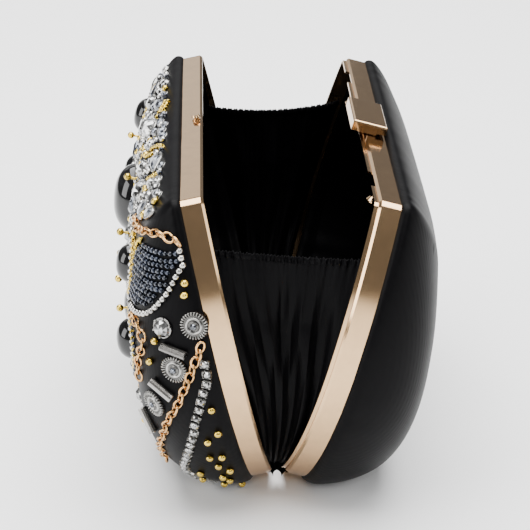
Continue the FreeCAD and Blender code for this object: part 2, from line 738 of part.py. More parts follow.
def make_seed_fields():
    """Fields of seed beads, as a pad of the beads' height over the cloth."""
    skin = dome(-PATCH_RISE, BAND_WIDTH).cut(dome(0.0, BAND_WIDTH - PAST))
    pads = []
    for field in SEED_FIELDS:
        spots = [drawn(x, h) for x, h in field]
        corners = [V(x, BAND_WIDTH + PATCH_ROOT, h + HINGE_DROP) for x, h in spots]
        block = Part.Face(Part.makePolygon(corners + corners[:1])).extrude(V(0, 2 * DOME_DEPTH, 0))
        pads.append(skin.common(block))
    return pads


# ---------------------------------------------------------------- gussets

def gusset_edge(lean, side, inset, depth, low, high):
    """Points where a gusset meets one leaned half, from bottom to top."""
    points = []
    steps = 6
    for i in range(steps + 1):
        h = low + (high - low) * i / steps
        point = V(half_width(h) - inset, depth * side, h + HINGE_DROP)
        points.append(turned(point, lean))
    return points


def turned(point, lean):
    """Point turned about the hinge axis; a positive lean moves the top towards -Y."""
    a = math.radians(lean)
    return V(point.x, point.y * math.cos(a) - point.z * math.sin(a),
             point.y * math.sin(a) + point.z * math.cos(a))


def gusset_panel(inset, thick, low, high):
    """Thin panel between the two halves at the +X end."""
    front = gusset_edge(FRONT_LEAN, -1, inset, GUSSET_DEPTH, low, high)
    back = gusset_edge(-BACK_LEAN, 1, inset, GUSSET_DEPTH, low, high)
    curves = []
    for points in (front, back):
        curve = Part.BSplineCurve()
        curve.interpolate(points)
        curves.append(curve.toShape())
    face = Part.makeRuledSurface(curves[0], curves[1])
    return face.extrude(V(-thick, 0, 0))


def mirrored_x(shape):
    """Copy for the -X end."""
    return shape.mirror(ORIGIN, X_AXIS)


# ---------------------------------------------------------------- assembly

def back_half(shape):
    """Lean a part of the back half into place."""
    shape = shape.copy()
    shape.rotate(ORIGIN, X_AXIS, -BACK_LEAN)
    return shape


def front_half(shape):
    """Mirror a part to the front half and lean it into place."""
    shape = shape.mirror(ORIGIN, Y_AXIS)
    shape.rotate(ORIGIN, X_AXIS, FRONT_LEAN)
    return shape


def build():
    """Every node by name, about the hinge axis."""
    cover = dome_layer(0.0, COVER_THICK)
    shell = dome_layer(COVER_THICK, COVER_THICK + SHELL_THICK)
    lining_outside = COVER_THICK + SHELL_THICK + LINING_GAP
    lining = dome_layer(lining_outside, lining_outside + LINING_THICK, LINING_START)
    band = drill_rivets(make_band())
    rivets = make_rivets()
    gusset = gusset_panel(GUSSET_INSET, GUSSET_THICK, GUSSET_BOTTOM, GUSSET_TOP)
    elastic = gusset_panel(GUSSET_INSET + GUSSET_THICK + ELASTIC_GAP, ELASTIC_THICK,
                           GUSSET_TOP - ELASTIC_HEIGHT, GUSSET_TOP)
    nodes = {
        "back_frame": back_half(band),
        "back_frame_tongue": back_half(make_tongue()),
        "back_shell": back_half(shell),
        "back_cover": back_half(cover),
        "back_lining": back_half(lining),
        "back_hinge_leaf": back_half(make_leaf(0)),
        "back_hinge_rivets": back_half(group(rivets)),
        "hinge_pin": make_hinge_pin(),
        "clasp_base": back_half(make_clasp_base()),
        "clasp_lever": back_half(make_lever()),
        "clasp_pin": back_half(make_clasp_pin()),
        "clasp_spring": back_half(group(make_clasp_spring())),
        "strap_post_left": back_half(make_post(-1)),
        "strap_post_right": back_half(make_post(1)),
        "gusset_left": mirrored_x(gusset),
        "gusset_right": gusset,
        "gusset_elastic_left": mirrored_x(elastic),
        "gusset_elastic_right": elastic,
        "front_frame": front_half(band),
        "front_shell": front_half(shell),
        "front_cover": front_half(cover),
        "front_lining": front_half(lining),
        "front_hinge_leaf": front_half(make_leaf(1)),
        "front_hinge_rivets": front_half(group(rivets)),
        "catch_stud": front_half(make_catch()),
        "oval_cabochons": front_half(group(make_cabochons())),
        "round_stones": front_half(group(make_round_stones())),
        "navette_stones": front_half(group(make_navettes())),
        "fluted_settings": front_half(group(make_fluted())),
        "bugle_beads": front_half(group(make_bugles())),
        "gold_beads": front_half(group(make_gold_scatter())),
        "gold_foot_beads": front_half(group(make_gold_feet())),
        "silver_beads": front_half(group(make_silver_beads())),
        "seed_bead_fields": front_half(group(make_seed_fields())),
        "curb_chains": front_half(group(make_curb_chains())),
        "cup_chains": front_half(group(make_cup_chains())),
    }
    return nodes


def settle(nodes):
    """Move everything so that the origin is under the middle of the whole object, on its surface."""
    box = FreeCAD.BoundBox()
    for shape in nodes.values():
        box.add(shape.optimalBoundingBox(False))
    shift = V(-(box.XMin + box.XMax) / 2, -(box.YMin + box.YMax) / 2, -box.ZMin)
    for shape in nodes.values():
        shape.translate(shift)
    return shift


def main():
    os.makedirs("parts", exist_ok=True)
    nodes = build()
    hinge = settle(nodes)
    for name, shape in nodes.items():
        if not shape.isValid():
            print("not valid:", name)
        shape.exportStep("parts/" + name + ".step")
    print("hinge axis at y %.4f z %.4f" % (hinge.y, hinge.z))


main()
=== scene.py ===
"""Open beaded evening bag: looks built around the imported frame, laid out as an add-on and run as a script."""

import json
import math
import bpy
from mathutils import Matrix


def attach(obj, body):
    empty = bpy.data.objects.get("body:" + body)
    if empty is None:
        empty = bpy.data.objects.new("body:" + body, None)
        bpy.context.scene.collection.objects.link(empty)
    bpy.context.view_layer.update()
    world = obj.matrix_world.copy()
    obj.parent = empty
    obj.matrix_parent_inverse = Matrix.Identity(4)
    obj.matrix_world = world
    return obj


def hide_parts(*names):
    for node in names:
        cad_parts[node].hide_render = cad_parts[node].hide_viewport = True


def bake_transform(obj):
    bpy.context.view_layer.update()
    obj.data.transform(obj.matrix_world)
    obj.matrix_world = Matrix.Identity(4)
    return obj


bl_info = {
    "name": "Beaded evening bag",
    "version": (1, 0, 0),
    "blender": (4, 5, 0),
    "location": "3D View > Sidebar > Evening bag",
    "description": "Satin, lining, gathered gussets and beadwork of an open box clutch",
    "category": "Add Mesh",
}

import bpy
import numpy as np
from bpy.props import FloatProperty, FloatVectorProperty, IntProperty, PointerProperty
from bpy.types import Operator, Panel, PropertyGroup
from mathutils import Matrix, Vector

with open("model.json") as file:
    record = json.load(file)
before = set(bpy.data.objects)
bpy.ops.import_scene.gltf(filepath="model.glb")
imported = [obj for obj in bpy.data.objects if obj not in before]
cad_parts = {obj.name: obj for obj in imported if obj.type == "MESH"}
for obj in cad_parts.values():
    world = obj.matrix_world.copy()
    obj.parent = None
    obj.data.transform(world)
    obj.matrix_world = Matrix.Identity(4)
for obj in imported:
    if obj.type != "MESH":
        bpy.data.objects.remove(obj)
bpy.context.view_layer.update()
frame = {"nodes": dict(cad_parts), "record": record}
JOINTS = {joint["name"]: joint for joint in frame["record"]["behaviour"]["joints"]}
HINGE = np.array(JOINTS["frame_hinge"]["pos_m"], float)
MM = 0.001


# ---------------------------------------------------------------- settings

def length(name, description, default):
    """A length property, given in millimetres and held in metres."""
    return FloatProperty(name=name, description=description, default=default * MM, unit="LENGTH", precision=5)


def angle(name, description, default):
    """An angle property, given in degrees and held in radians."""
    return FloatProperty(name=name, description=description, default=math.radians(default),
                         subtype="ANGLE", unit="ROTATION")


def colour(name, description, default):
    """A colour property."""
    return FloatVectorProperty(name=name, description=description, default=default,
                               subtype="COLOR", size=3, min=0.0, max=1.0)


class BagShape(PropertyGroup):
    """Outline, dome and stance of the two halves."""
    height: length("Frame height", "Height of the metal band, square on", 118.0)
    waist_half: length("Half length", "Half the bag's length at its widest", 90.0)
    waist_height: length("Waist height", "Height of the widest place", 62.0)
    upper_radius: length("Upper side radius", "Radius of the side above the waist", 126.0)
    lower_radius: length("Lower side radius", "Radius of the side below the waist", 75.0)
    bottom_radius: length("Bottom corner radius", "Radius of the bottom corners", 32.0)
    top_radius: length("Top corner radius", "Radius of the band's top corners", 4.0)
    band: length("Band width", "Width of the metal band on each half", 8.0)
    drop: length("Hinge drop", "Bottom rail's height above the hinge axis", 2.2)
    front_lean: angle("Front lean", "Lean of the beaded half", 12.0)
    back_lean: angle("Back lean", "Lean of the plain half", 15.7)
    dome: length("Dome depth", "Depth of the domed body beyond the band", 29.0)
    side_power: FloatProperty(name="Side power", description="How late the dome turns down", default=4.2)
    end_power: FloatProperty(name="End power", description="The same towards the two ends", default=9.0)
    depth_power: FloatProperty(name="Depth power", description="How square the dome's edge is", default=1.35)
    centre: length("Dome centre", "Height of the dome's middle", 56.0)
    bulge: length("Bulge", "How far the dome swells past the band", 1.2)
    bulge_depth: length("Bulge depth", "Where the swelling is widest", 3.0)
    tilt: FloatProperty(name="Tilt", description="Extra depth of the lower half", default=0.31)
    softening: length("Corner softening", "Corner radius that the dome reaches at its middle", 46.0)
    layer: length("Cloth and board", "Thickness from the cover's outside to the lining", 3.2)


class BagColours(PropertyGroup):
    """Base colours of the finishes."""
    gold: colour("Band", "Pale rose gold of the band and clasp", (0.63, 0.41, 0.22))
    satin: colour("Satin", "Black satin of the covers", (0.0016, 0.0015, 0.0018))
    lining: colour("Lining", "Black satin inside", (0.0014, 0.0013, 0.0016))
    bead_gold: colour("Gold beads", "Yellow gold of the round beads", (0.68, 0.48, 0.08))
    silver: colour("Silver", "Silver of beads, cups and settings", (0.52, 0.51, 0.485))
    chain: colour("Chain", "Rose gold of the curb chains", (0.66, 0.38, 0.155))
    navy: colour("Seed beads", "Dark blue of the seed beads", (0.009, 0.014, 0.027))
    stone: colour("Clear stones", "Foil-backed clear stones", (0.25, 0.25, 0.245))
    smoke: colour("Smoke stones", "Dark grey cut stones", (0.085, 0.095, 0.115))
    jet: colour("Jet", "Black oval stones", (0.0028, 0.0028, 0.0032))
    floor: colour("Floor", "Pale floor", (0.95, 0.95, 0.95))


class BeadSizes(PropertyGroup):
    """Trade sizes of the beadwork."""
    seed: length("Seed bead", "Diameter of a seed bead", 1.9)
    seed_long: length("Seed length", "Length of a seed bead along its hole", 1.45)
    ball: length("Gold ball", "Diameter of a round gold bead", 2.7)
    silver_ball: length("Silver ball", "Diameter of a round silver bead", 2.3)
    cup: length("Cup", "Width of a cup chain's cup", 3.2)
    cup_pitch: length("Cup pitch", "Pitch of the cup chain", 3.75)
    setting: length("Setting", "Diameter of a fluted setting", 10.0)
    bugle: length("Bugle length", "Length of a bugle bead", 9.5)
    bugle_wide: length("Bugle width", "Diameter of a bugle bead", 3.0)
    link: length("Link", "Length of a curb chain's link", 5.0)
    link_pitch: length("Link pitch", "Pitch of the curb chain's links", 3.1)
    seed_number: IntProperty(name="Seed", description="Start of the random numbers", default=11)


class BagSettings(PropertyGroup):
    """Everything that a user would change."""
    shape: PointerProperty(type=BagShape)
    colours: PointerProperty(type=BagColours)
    beads: PointerProperty(type=BeadSizes)


def shape():
    """The bag's shape settings."""
    return bpy.context.scene.evening_bag.shape


def colours():
    """The bag's colour settings."""
    return bpy.context.scene.evening_bag.colours


def beads():
    """The bag's bead sizes."""
    return bpy.context.scene.evening_bag.beads


# ---------------------------------------------------------------- shader maths

class Value:
    """A shader output. Arithmetic on it adds Math nodes, with numbers or other values on either side."""

    def __init__(self, finish, socket):
        self.finish = finish
        self.socket = socket

    def _math(self, operation, first, second=0.0):
        return self.finish.node("ShaderNodeMath", {"operation": operation}, {0: first, 1: second})

    def __add__(self, other):
        return self._math("ADD", self, other)

    def __radd__(self, other):
        return self._math("ADD", other, self)

    def __mul__(self, other):
        return self._math("MULTIPLY", self, other)

    def __rmul__(self, other):
        return self._math("MULTIPLY", other, self)

    def wave(self):
        """Sine of the value."""
        return self._math("SINE", self)


class Finish:
    """A material under construction round one Principled shader."""

    def __init__(self, name, **uniform):
        self.material = bpy.data.materials.new(name)
        self.material.use_nodes = True
        self.tree = self.material.node_tree
        self.shader = next(n for n in self.tree.nodes if n.type == "BSDF_PRINCIPLED")
        self.set(**uniform)

    def set(self, **uniform):
        """Set sockets of the shader that are the same all over; underscores stand for spaces."""
        for key, value in uniform.items():
            socket = self.shader.inputs[key.replace("_", " ")]
            if socket.type == "RGBA":
                value = tuple(value)[:3] + (1.0,)
            socket.default_value = value

    def node(self, kind, settings=None, inputs=None, output=0):
        """Add a node of a kind, apply its settings, fill its sockets, and return one output as a Value."""
        node = self.tree.nodes.new(kind)
        for key, value in (settings or {}).items():
            if key == "stops":
                self._fill_ramp(node.color_ramp, value)
            else:
                setattr(node, key, value)
        for key, value in (inputs or {}).items():
            socket = node.inputs[key]
            if isinstance(value, Value):
                self.tree.links.new(value.socket, socket)
            elif socket.type == "RGBA":
                socket.default_value = tuple(value)[:3] + (1.0,)
            else:
                socket.default_value = value
        return Value(self, node.outputs[output])

    @staticmethod
    def _fill_ramp(ramp, stops):
        while len(ramp.elements) < len(stops):
            ramp.elements.new(0.5)
        for element, (position, shade) in zip(ramp.elements, stops):
            element.position = position
            element.color = (shade, shade, shade, 1.0) if isinstance(shade, float) else tuple(shade) + (1.0,)

    def feed(self, **links):
        """Link values into the shader's sockets."""
        for key, value in links.items():
            self.tree.links.new(value.socket, self.shader.inputs[key.replace("_", " ")])
        return self.material

    def place(self, scale=(1.0, 1.0, 1.0), source="Object"):
        """Texture coordinates, stretched by scale."""
        start = self.node("ShaderNodeTexCoord", output={"Object": 3, "UV": 2}[source])
        return self.node("ShaderNodeMapping", None, {"Vector": start, "Scale": scale})

    def noise(self, where, scale, detail=3.0, roughness=0.5):
        """Noise from 0 to 1."""
        return self.node("ShaderNodeTexNoise", None,
                         {"Vector": where, "Scale": scale, "Detail": detail, "Roughness": roughness})

    def ramp(self, value, *stops):
        """Colour ramp over a value."""
        return self.node("ShaderNodeValToRGB", {"stops": stops}, {"Fac": value})

    def mix(self, factor, first, second):
        """Mix of two colours."""
        return self.node("ShaderNodeMix", {"data_type": "RGBA"}, {0: factor, 6: first, 7: second}, output=2)

    def split(self, vector, axis):
        """One part of a vector."""
        return self.node("ShaderNodeSeparateXYZ", None, {0: vector}, output=axis)

    def tone(self):
        """Number of each bead from the mesh: random for most pieces; on the fluted discs it is painted shade by
        height and flute depth, and on cut stones a random facet tone that paints their reflections.
        """
        return self.node("ShaderNodeAttribute", {"attribute_name": "tone"}, output=2)

    def bump(self, height, strength, distance):
        """Normal bent by a height."""
        return self.node("ShaderNodeBump", None,
                         {"Height": height, "Strength": strength, "Distance": distance})


def shades(base, *factors):
    """The base colour made lighter or darker, one colour for each factor."""
    return [tuple(min(1.0, c * f) for c in base) for f in factors]


def metal(name, base, roughness, wear_scale=220.0, contrast=0.12):
    """Polished plating: faint cloudiness, fine polishing scratches and duller rubbed places."""
    finish = Finish(name, Metallic=1.0, IOR=1.45)
    where = finish.place()
    cloud = finish.noise(where, wear_scale, 4.0, 0.6)
    scratch = finish.noise(finish.place((1.0, 9.0, 9.0)), wear_scale * 9.0, 2.0, 0.6)
    dark, light = shades(base, 1.0 - contrast, 1.0 + contrast)
    finish.feed(Base_Color=finish.mix(cloud, dark, light))
    finish.feed(Roughness=roughness * 0.6 + (cloud * 0.5 + scratch * 0.5) * roughness * 0.8)
    return finish.feed(Normal=finish.bump(scratch * 0.5 + cloud * 0.5, 0.05, 0.00006))


def satin(name, base, gloss, weave=0.45):
    """Black satin: long floats of thread that catch the light along one way, with a soft sheen."""
    finish = Finish(name, Sheen_Weight=0.002, Sheen_Roughness=0.35, Specular_IOR_Level=gloss)
    finish.set(Sheen_Tint=(0.5, 0.5, 0.55), IOR=1.5)
    where = finish.place(source="UV")
    across = (finish.split(where, 0) * 5200.0).wave()
    down = (finish.split(where, 1) * 1500.0 + across * 0.6).wave()
    slub = finish.noise(finish.place((3.0, 1.0, 1.0), "UV"), 420.0, 3.0, 0.55)
    cloud = finish.noise(finish.place(), 38.0, 3.0, 0.5)
    dark, light = shades(base, 0.6, 1.7)
    finish.feed(Base_Color=finish.mix(slub * 0.5 + cloud * 0.5, dark, light))
    finish.feed(Roughness=0.34 + slub * 0.08 + cloud * 0.10)
    height = across * 0.35 + down * 0.35 + slub * 0.3
    return finish.feed(Normal=finish.bump(height, weave, 0.00006))


def bead_metal(name, base, roughness, low=0.72, high=1.22):
    """Plated bead: each one a little lighter or darker by its tone (on the fluted discs the tone is painted
    shade), with tiny dents.
    """
    finish = Finish(name, Metallic=1.0)
    tone = finish.tone()
    where = finish.place()
    pits = finish.noise(where, 900.0, 2.0, 0.5)
    dark, light = shades(base, low, high)
    finish.feed(Base_Color=finish.mix(tone, dark, light))
    finish.feed(Roughness=roughness + tone * 0.06 + pits * 0.08)
    return finish.feed(Normal=finish.bump(pits, 0.12, 0.00008))


def glass_bead(name, base, metallic, coat=0.8):
    """Lustred glass bead: dark body, metallic lustre that differs from bead to bead, clear top."""
    finish = Finish(name, Metallic=metallic, Coat_Roughness=0.04, Coat_Weight=coat)
    tone = finish.tone()
    stain = finish.noise(finish.place(), 420.0, 2.0, 0.5)
    dark, light = shades(base, 0.45, 2.1)
    finish.feed(Base_Color=finish.mix(tone * 0.75 + stain * 0.25, dark, light))
    return finish.feed(Roughness=0.14 + stain * 0.16)


def cut_stone(name, base, metallic, contrast):
    """Foil-backed cut stone: facets of differing brightness, very smooth. The brightness is painted reflection,
    set by each facet's random tone and a fine noise.
    """
    finish = Finish(name, Metallic=metallic, Coat_Weight=1.0, Coat_Roughness=0.01, IOR=1.6)
    tone = finish.tone()
    painted_sparkle_and_roughness = finish.noise(finish.place(), 520.0, 1.0, 0.4)
    dark, light = shades(base, 1.0 - contrast, 1.0 + contrast * 0.8)
    # Painted reflection: the facet tone and a fine noise set each facet's colour between near black and bright;
    # the same noise also varies the roughness.
    painted_facet_light = finish.ramp(tone * 0.5 + painted_sparkle_and_roughness * 0.5, (0.32, 0.0), (0.62, 1.0))
    finish.feed(Base_Color=finish.mix(painted_facet_light, dark, light))
    return finish.feed(Roughness=0.03 + painted_sparkle_and_roughness * 0.09)


def jet_stone(name, base):
    """Polished black stone with faint veils under the surface."""
    finish = Finish(name, Coat_Weight=0.25, Coat_Roughness=0.02, IOR=1.5, Specular_IOR_Level=0.4)
    veil = finish.noise(finish.place((1.0, 1.0, 3.0)), 90.0, 5.0, 0.6)
    dark, light = shades(base, 0.7, 2.4)
    finish.feed(Base_Color=finish.mix(finish.ramp(veil, (0.45, 0.0), (0.75, 1.0)), dark, light))
    return finish.feed(Roughness=0.05 + veil * 0.05)


def floor_finish(name, base):
    """Pale matt floor, very slightly mottled."""
    finish = Finish(name, Specular_IOR_Level=0.2)
    mottle = finish.noise(finish.place(), 14.0, 3.0, 0.5)
    dark, light = shades(base, 0.985, 1.01)
    finish.feed(Base_Color=finish.mix(mottle, dark, light))
    return finish.feed(Roughness=0.55 + mottle * 0.1)


_finishes = {}


def finish_for(key):
    """Material by key, made the first time it is asked for."""
    if key not in _finishes:
        c = colours()
        makers = {
            "gold": lambda: metal("rose_gold_plate", c.gold, 0.12),
            "chain": lambda: bead_metal("rose_gold_chain", c.chain, 0.14),
            "steel": lambda: metal("plated_steel", (0.55, 0.50, 0.44), 0.3),
            "satin": lambda: satin("black_satin", c.satin, 0.05, 0.3),
            "lining": lambda: satin("lining_satin", c.lining, 0.05, 0.3),
            "bead_gold": lambda: bead_metal("gold_bead", c.bead_gold, 0.14),
            "silver": lambda: bead_metal("silver_bead", c.silver, 0.13),
            "setting": lambda: bead_metal("silver_setting", shades(c.silver, 0.55)[0], 0.2),
            # Fluted discs: their tone is painted shade, so this silver runs from near black in the flutes to
            # full silver on the ridges.
            "fluted": lambda: bead_metal("fluted_silver_painted_shade", shades(c.silver, 0.75)[0], 0.2, 0.05, 1.1),
            "navy": lambda: glass_bead("hematite_bead", c.navy, 0.55),
            "bugle": lambda: glass_bead("lined_bugle", (0.23, 0.22, 0.205), 0.85),
            # Both stone finishes paint the facets' reflections into their colour.
            "clear": lambda: cut_stone("clear_stone", c.stone, 0.92, 0.95),
            "smoke": lambda: cut_stone("smoke_stone", c.smoke, 0.75, 0.7),
            "jet": lambda: jet_stone("jet_stone", c.jet),
            "floor": lambda: floor_finish("pale_floor", c.floor),
        }
        _finishes[key] = makers[key]()
    return _finishes[key]


# ---------------------------------------------------------------- outline and dome

def arc(centre, radius, start, end, count):
    """Points along a circle's arc: centre plus radius times (cosine, sine) of an even run of angles."""
    turn = np.linspace(start, end, count)
    return np.stack([centre[0] + radius * np.cos(turn), centre[1] + radius * np.sin(turn)], -1)


def outline(corner=None):
    """Closed outline of the frame, square on, as dense (x, height) points that run anticlockwise
    from the bottom middle: straight rails joined by bottom, lower side, upper side and top corner arcs.
    The top corner's radius can be given instead of the frame's own."""
    s = shape()
    corner = s.top_radius if corner is None else corner
    lower = (s.waist_half - s.lower_radius, s.waist_height)
    upper = (s.waist_half - s.upper_radius, s.waist_height)
    rise = s.waist_height - s.bottom_radius
    run = math.sqrt((s.lower_radius - s.bottom_radius) ** 2 - rise ** 2)
    bottom = (lower[0] + run, s.bottom_radius)
    join = math.atan2(-rise, run)
    reach = s.upper_radius - corner
    corner_h = s.height - corner
    corner_x = upper[0] + math.sqrt(reach ** 2 - (corner_h - upper[1]) ** 2)
    top = math.atan2(corner_h - upper[1], corner_x - upper[0])
    rail = np.linspace(0.0, 1.0, 60)[:, None]
    low = np.array([[bottom[0], 0.0]]) * rail
    high = np.array([[corner_x, s.height]]) * (1 - rail) + np.array([[0.0, s.height]]) * rail
    half = np.concatenate([
        low[:-1],
        arc(bottom, s.bottom_radius, -math.pi / 2, join, 60)[:-1],
        arc(lower, s.lower_radius, join, 0.0, 80)[:-1],
        arc(upper, s.upper_radius, 0.0, top, 100)[:-1],
        arc((corner_x, corner_h), corner, top, math.pi / 2, 40)[:-1],
        high,
    ])
    other = half[::-1][1:-1] * np.array([-1.0, 1.0])
    return np.concatenate([half, other])


def rim_angles(count):
    """Directions from the dome's centre to points spread evenly along the outline, closer at the
    top corners."""
    points = outline()
    centre = np.array([0.0, shape().centre])
    closed = np.concatenate([points, points[:1]])
    step = np.linalg.norm(np.diff(closed, axis=0), axis=1)
    near = np.abs(np.abs(points[:, 0]) - 0.0765) + np.abs(points[:, 1] - shape().height)
    step = step * (1.0 + 2.5 * np.exp(-near / 0.008))
    along = np.concatenate([[0.0], np.cumsum(step)])
    at = np.linspace(0.0, along[-1], count, endpoint=False)
    spread = np.stack([np.interp(at, along, closed[:, i]) for i in (0, 1)], -1) - centre
    return np.unwrap(np.arctan2(spread[:, 1], spread[:, 0]))


def rim_reach(turn, corner=None):
    """Distance from the dome's centre to the outline, for each direction."""
    points = outline(corner) - np.array([0.0, shape().centre])
    own = np.arctan2(points[:, 1], points[:, 0])
    order = np.argsort(own)
    return np.interp(np.mod(turn + math.pi, 2 * math.pi) - math.pi, own[order],
                     np.hypot(points[order, 0], points[order, 1]), period=2 * math.pi)


def dome_depth(share, inset=0.0):
    """Depth beyond the band: bulge depth plus the rest times (1 - share^side power)^(1 / depth power)."""
    s = shape()
    rest = s.dome - s.bulge_depth - inset
    return s.bulge_depth + rest * (1.0 - np.clip(share, 0.0, 1.0) ** s.side_power) ** (1.0 / s.depth_power)


def leaned_depth(depth, height):
    """Depth with the extra that the lower part has."""
    s = shape()
    return s.band + depth * (1.0 + s.tilt * (s.waist_height - height) / s.waist_height)


def reach_at(turn, share):
    """Rim distance whose corners soften towards the dome's middle: a blend of the sharp and soft outlines."""
    s = shape()
    soft = np.clip((1.0 - share) * 2.2, 0.0, 1.0)
    return rim_reach(turn) * (1 - soft) + rim_reach(turn, s.softening) * soft


def end_share(share):
    """Scale along the length that goes with a scale in height."""
    return share ** (shape().side_power / shape().end_power)


def share_at(x, height):
    """How far out (x, height) lies, near 0 in the middle and 1 at the rim: found by halving an interval."""
    s = shape()
    low, high = np.full(np.shape(x), 0.001), np.full(np.shape(x), 1.3)
    for _ in range(26):
        share = (low + high) / 2
        along = x / end_share(share)
        up = (height - s.centre) / share
        fits = np.hypot(along, up) <= reach_at(np.arctan2(up, along), share) + s.bulge
        high = np.where(fits, share, high)
        low = np.where(fits, low, share)
    return high


def pulled_in(x, height, limit):
    """The same (x, height), or where it lies past a limit of share, the nearest place on that limit."""
    s = shape()
    share = share_at(x, height)
    over = np.maximum(share / limit, 1.0)
    return x / end_share(over), s.centre + (height - s.centre) / over, np.minimum(share, limit)


def dome_point(x, height):
    """Point of the dome's outside at (x, height) in the half's own upright frame: (x, outward, up)."""
    x, height, share = pulled_in(x, height, 1.0)
    return np.stack([x, leaned_depth(dome_depth(share), height), height + shape().drop], -1)


def dome_normal(x, height):
    """Outward direction of the dome: cross product of its slopes across and up, a little inside the rim."""
    x, height, _share = pulled_in(x, height, 0.985)
    step = 0.0004
    across = dome_point(x + step, height) - dome_point(x - step, height)
    up = dome_point(x, height + step) - dome_point(x, height - step)
    normal = np.cross(up, across)
    return normal / np.linalg.norm(normal, axis=-1, keepdims=True)


def lean(points, half, offset=True):
    """Points of a half's upright frame put where that half stands: mirrored for the front, then turned
    about the hinge."""
    s = shape()
    front = half == "front"
    turn = s.front_lean if front else -s.back_lean
    y = -points[..., 1] if front else points[..., 1]
    z = points[..., 2]
    moved = np.stack([points[..., 0], y * math.cos(turn) - z * math.sin(turn),
                      y * math.sin(turn) + z * math.cos(turn)], -1)
    return moved + HINGE if offset else moved


# ---------------------------------------------------------------- mesh building

def make_mesh(name, points, quads, tris=None, key=None, uv=None, tone=None, smooth=True):
    """Mesh object from whole arrays: points (n, 3), quads (m, 4), tris (k, 3), with a UV and a tone for
    each point."""
    quads = np.asarray(quads, np.int32).reshape(-1, 4)
    tris = np.zeros((0, 3), np.int32) if tris is None else np.asarray(tris, np.int32).reshape(-1, 3)
    loops = np.concatenate([quads.ravel(), tris.ravel()])
    totals = np.concatenate([np.full(len(quads), 4), np.full(len(tris), 3)])
    starts = np.concatenate([[0], np.cumsum(totals)[:-1]])
    mesh = bpy.data.meshes.new(name)
    mesh.vertices.add(len(points))
    mesh.vertices.foreach_set("co", np.asarray(points, np.float32).ravel())
    mesh.loops.add(len(loops))
    mesh.loops.foreach_set("vertex_index", loops.astype(np.int32))
    mesh.polygons.add(len(totals))
    mesh.polygons.foreach_set("loop_start", starts.astype(np.int32))
    mesh.polygons.foreach_set("use_smooth", np.full(len(totals), smooth))
    mesh.update(calc_edges=True)
    if uv is not None:
        layer = mesh.uv_layers.new(name="UVMap")
        layer.data.foreach_set("uv", np.asarray(uv, np.float32)[loops].ravel())
    if tone is not None:
        attribute = mesh.attributes.new("tone", "FLOAT", "POINT")
        attribute.data.foreach_set("value", np.asarray(tone, np.float32))
    mesh.validate()
    piece = bpy.data.objects.new(name, mesh)
    bpy.context.collection.objects.link(piece)
    if key:
        mesh.materials.append(finish_for(key))
    return piece


def grid_quads(rows, columns, wrap=False):
    """Quads of a grid of points, row by row; wrap joins the last column to the first."""
    r = np.arange(rows - 1)[:, None]
    c = np.arange(columns if wrap else columns - 1)[None, :]
    after = (c + 1) % columns
    return np.stack([r * columns + c, r * columns + after, (r + 1) * columns + after,
                     (r + 1) * columns + c], -1).reshape(-1, 4)


def lathe(profile, segments):
    """Profile of (radius, height) points turned about Z: one point on the axis where the radius is 0.
    Returns points, quads and triangles that face outwards when the profile runs upwards on the outside."""
    profile = np.asarray(profile, float)
    turn = np.linspace(0, 2 * math.pi, segments, endpoint=False)
    body = profile[profile[:, 0] > 1e-9]
    ring = np.stack([body[:, None, 0] * np.cos(turn), body[:, None, 0] * np.sin(turn),
                     np.repeat(body[:, 1:2], segments, 1)], -1)
    points = [ring.reshape(-1, 3)]
    quads = grid_quads(len(body), segments, True)
    tris = []
    count = len(body) * segments
    around = np.arange(segments)
    following = (around + 1) % segments
    if profile[0, 0] <= 1e-9:
        points.append(np.array([[0.0, 0.0, profile[0, 1]]]))
        tris.append(np.stack([np.full(segments, count), following, around], -1))
        count += 1
    if profile[-1, 0] <= 1e-9:
        points.append(np.array([[0.0, 0.0, profile[-1, 1]]]))
        last = (len(body) - 1) * segments
        tris.append(np.stack([np.full(segments, count), last + around, last + following], -1))
    tris = np.concatenate(tris) if tris else np.zeros((0, 3), int)
    return np.concatenate(points), quads, tris


def torus(major, minor, around, section):
    """Closed ring about Z: minor circle swept round the major circle."""
    u = np.linspace(0, 2 * math.pi, around, endpoint=False)[:, None]
    v = np.linspace(0, 2 * math.pi, section, endpoint=False)[None, :]
    radius = major + minor * np.cos(v)
    points = np.stack([radius * np.cos(u), radius * np.sin(u), minor * np.sin(v) + 0 * u], -1)
    quads = grid_quads(around + 1, section, True) % (around * section)
    return points.reshape(-1, 3), quads[:, ::-1], np.zeros((0, 3), int)


def join(*parts):
    """Several (points, quads, tris) as one."""
    points, quads, tris, start = [], [], [], 0
    for p, q, t in parts:
        points.append(p)
        quads.append(np.asarray(q).reshape(-1, 4) + start)
        tris.append(np.asarray(t).reshape(-1, 3) + start)
        start += len(p)
    return np.concatenate(points), np.concatenate(quads), np.concatenate(tris)


def copies(part, places, frames, scales=None):
    """The part copied to each place: its axes are the columns of frames, its size times scales."""
    points, quads, tris = part
    count = len(places)
    scales = np.ones((count, 3)) if scales is None else np.broadcast_to(scales, (count, 3))
    moved = np.einsum("nij,nkj->nki", frames, points[None] * scales[:, None, :]) + places[:, None, :]
    shift = (np.arange(count) * len(points))[:, None, None]
    return moved.reshape(-1, 3), (quads[None] + shift).reshape(-1, 4), (tris[None] + shift).reshape(-1, 3)


def tones(count, size, rng):
    """One random number for each copy, repeated over its points."""
    return np.repeat(rng.random(count), size)


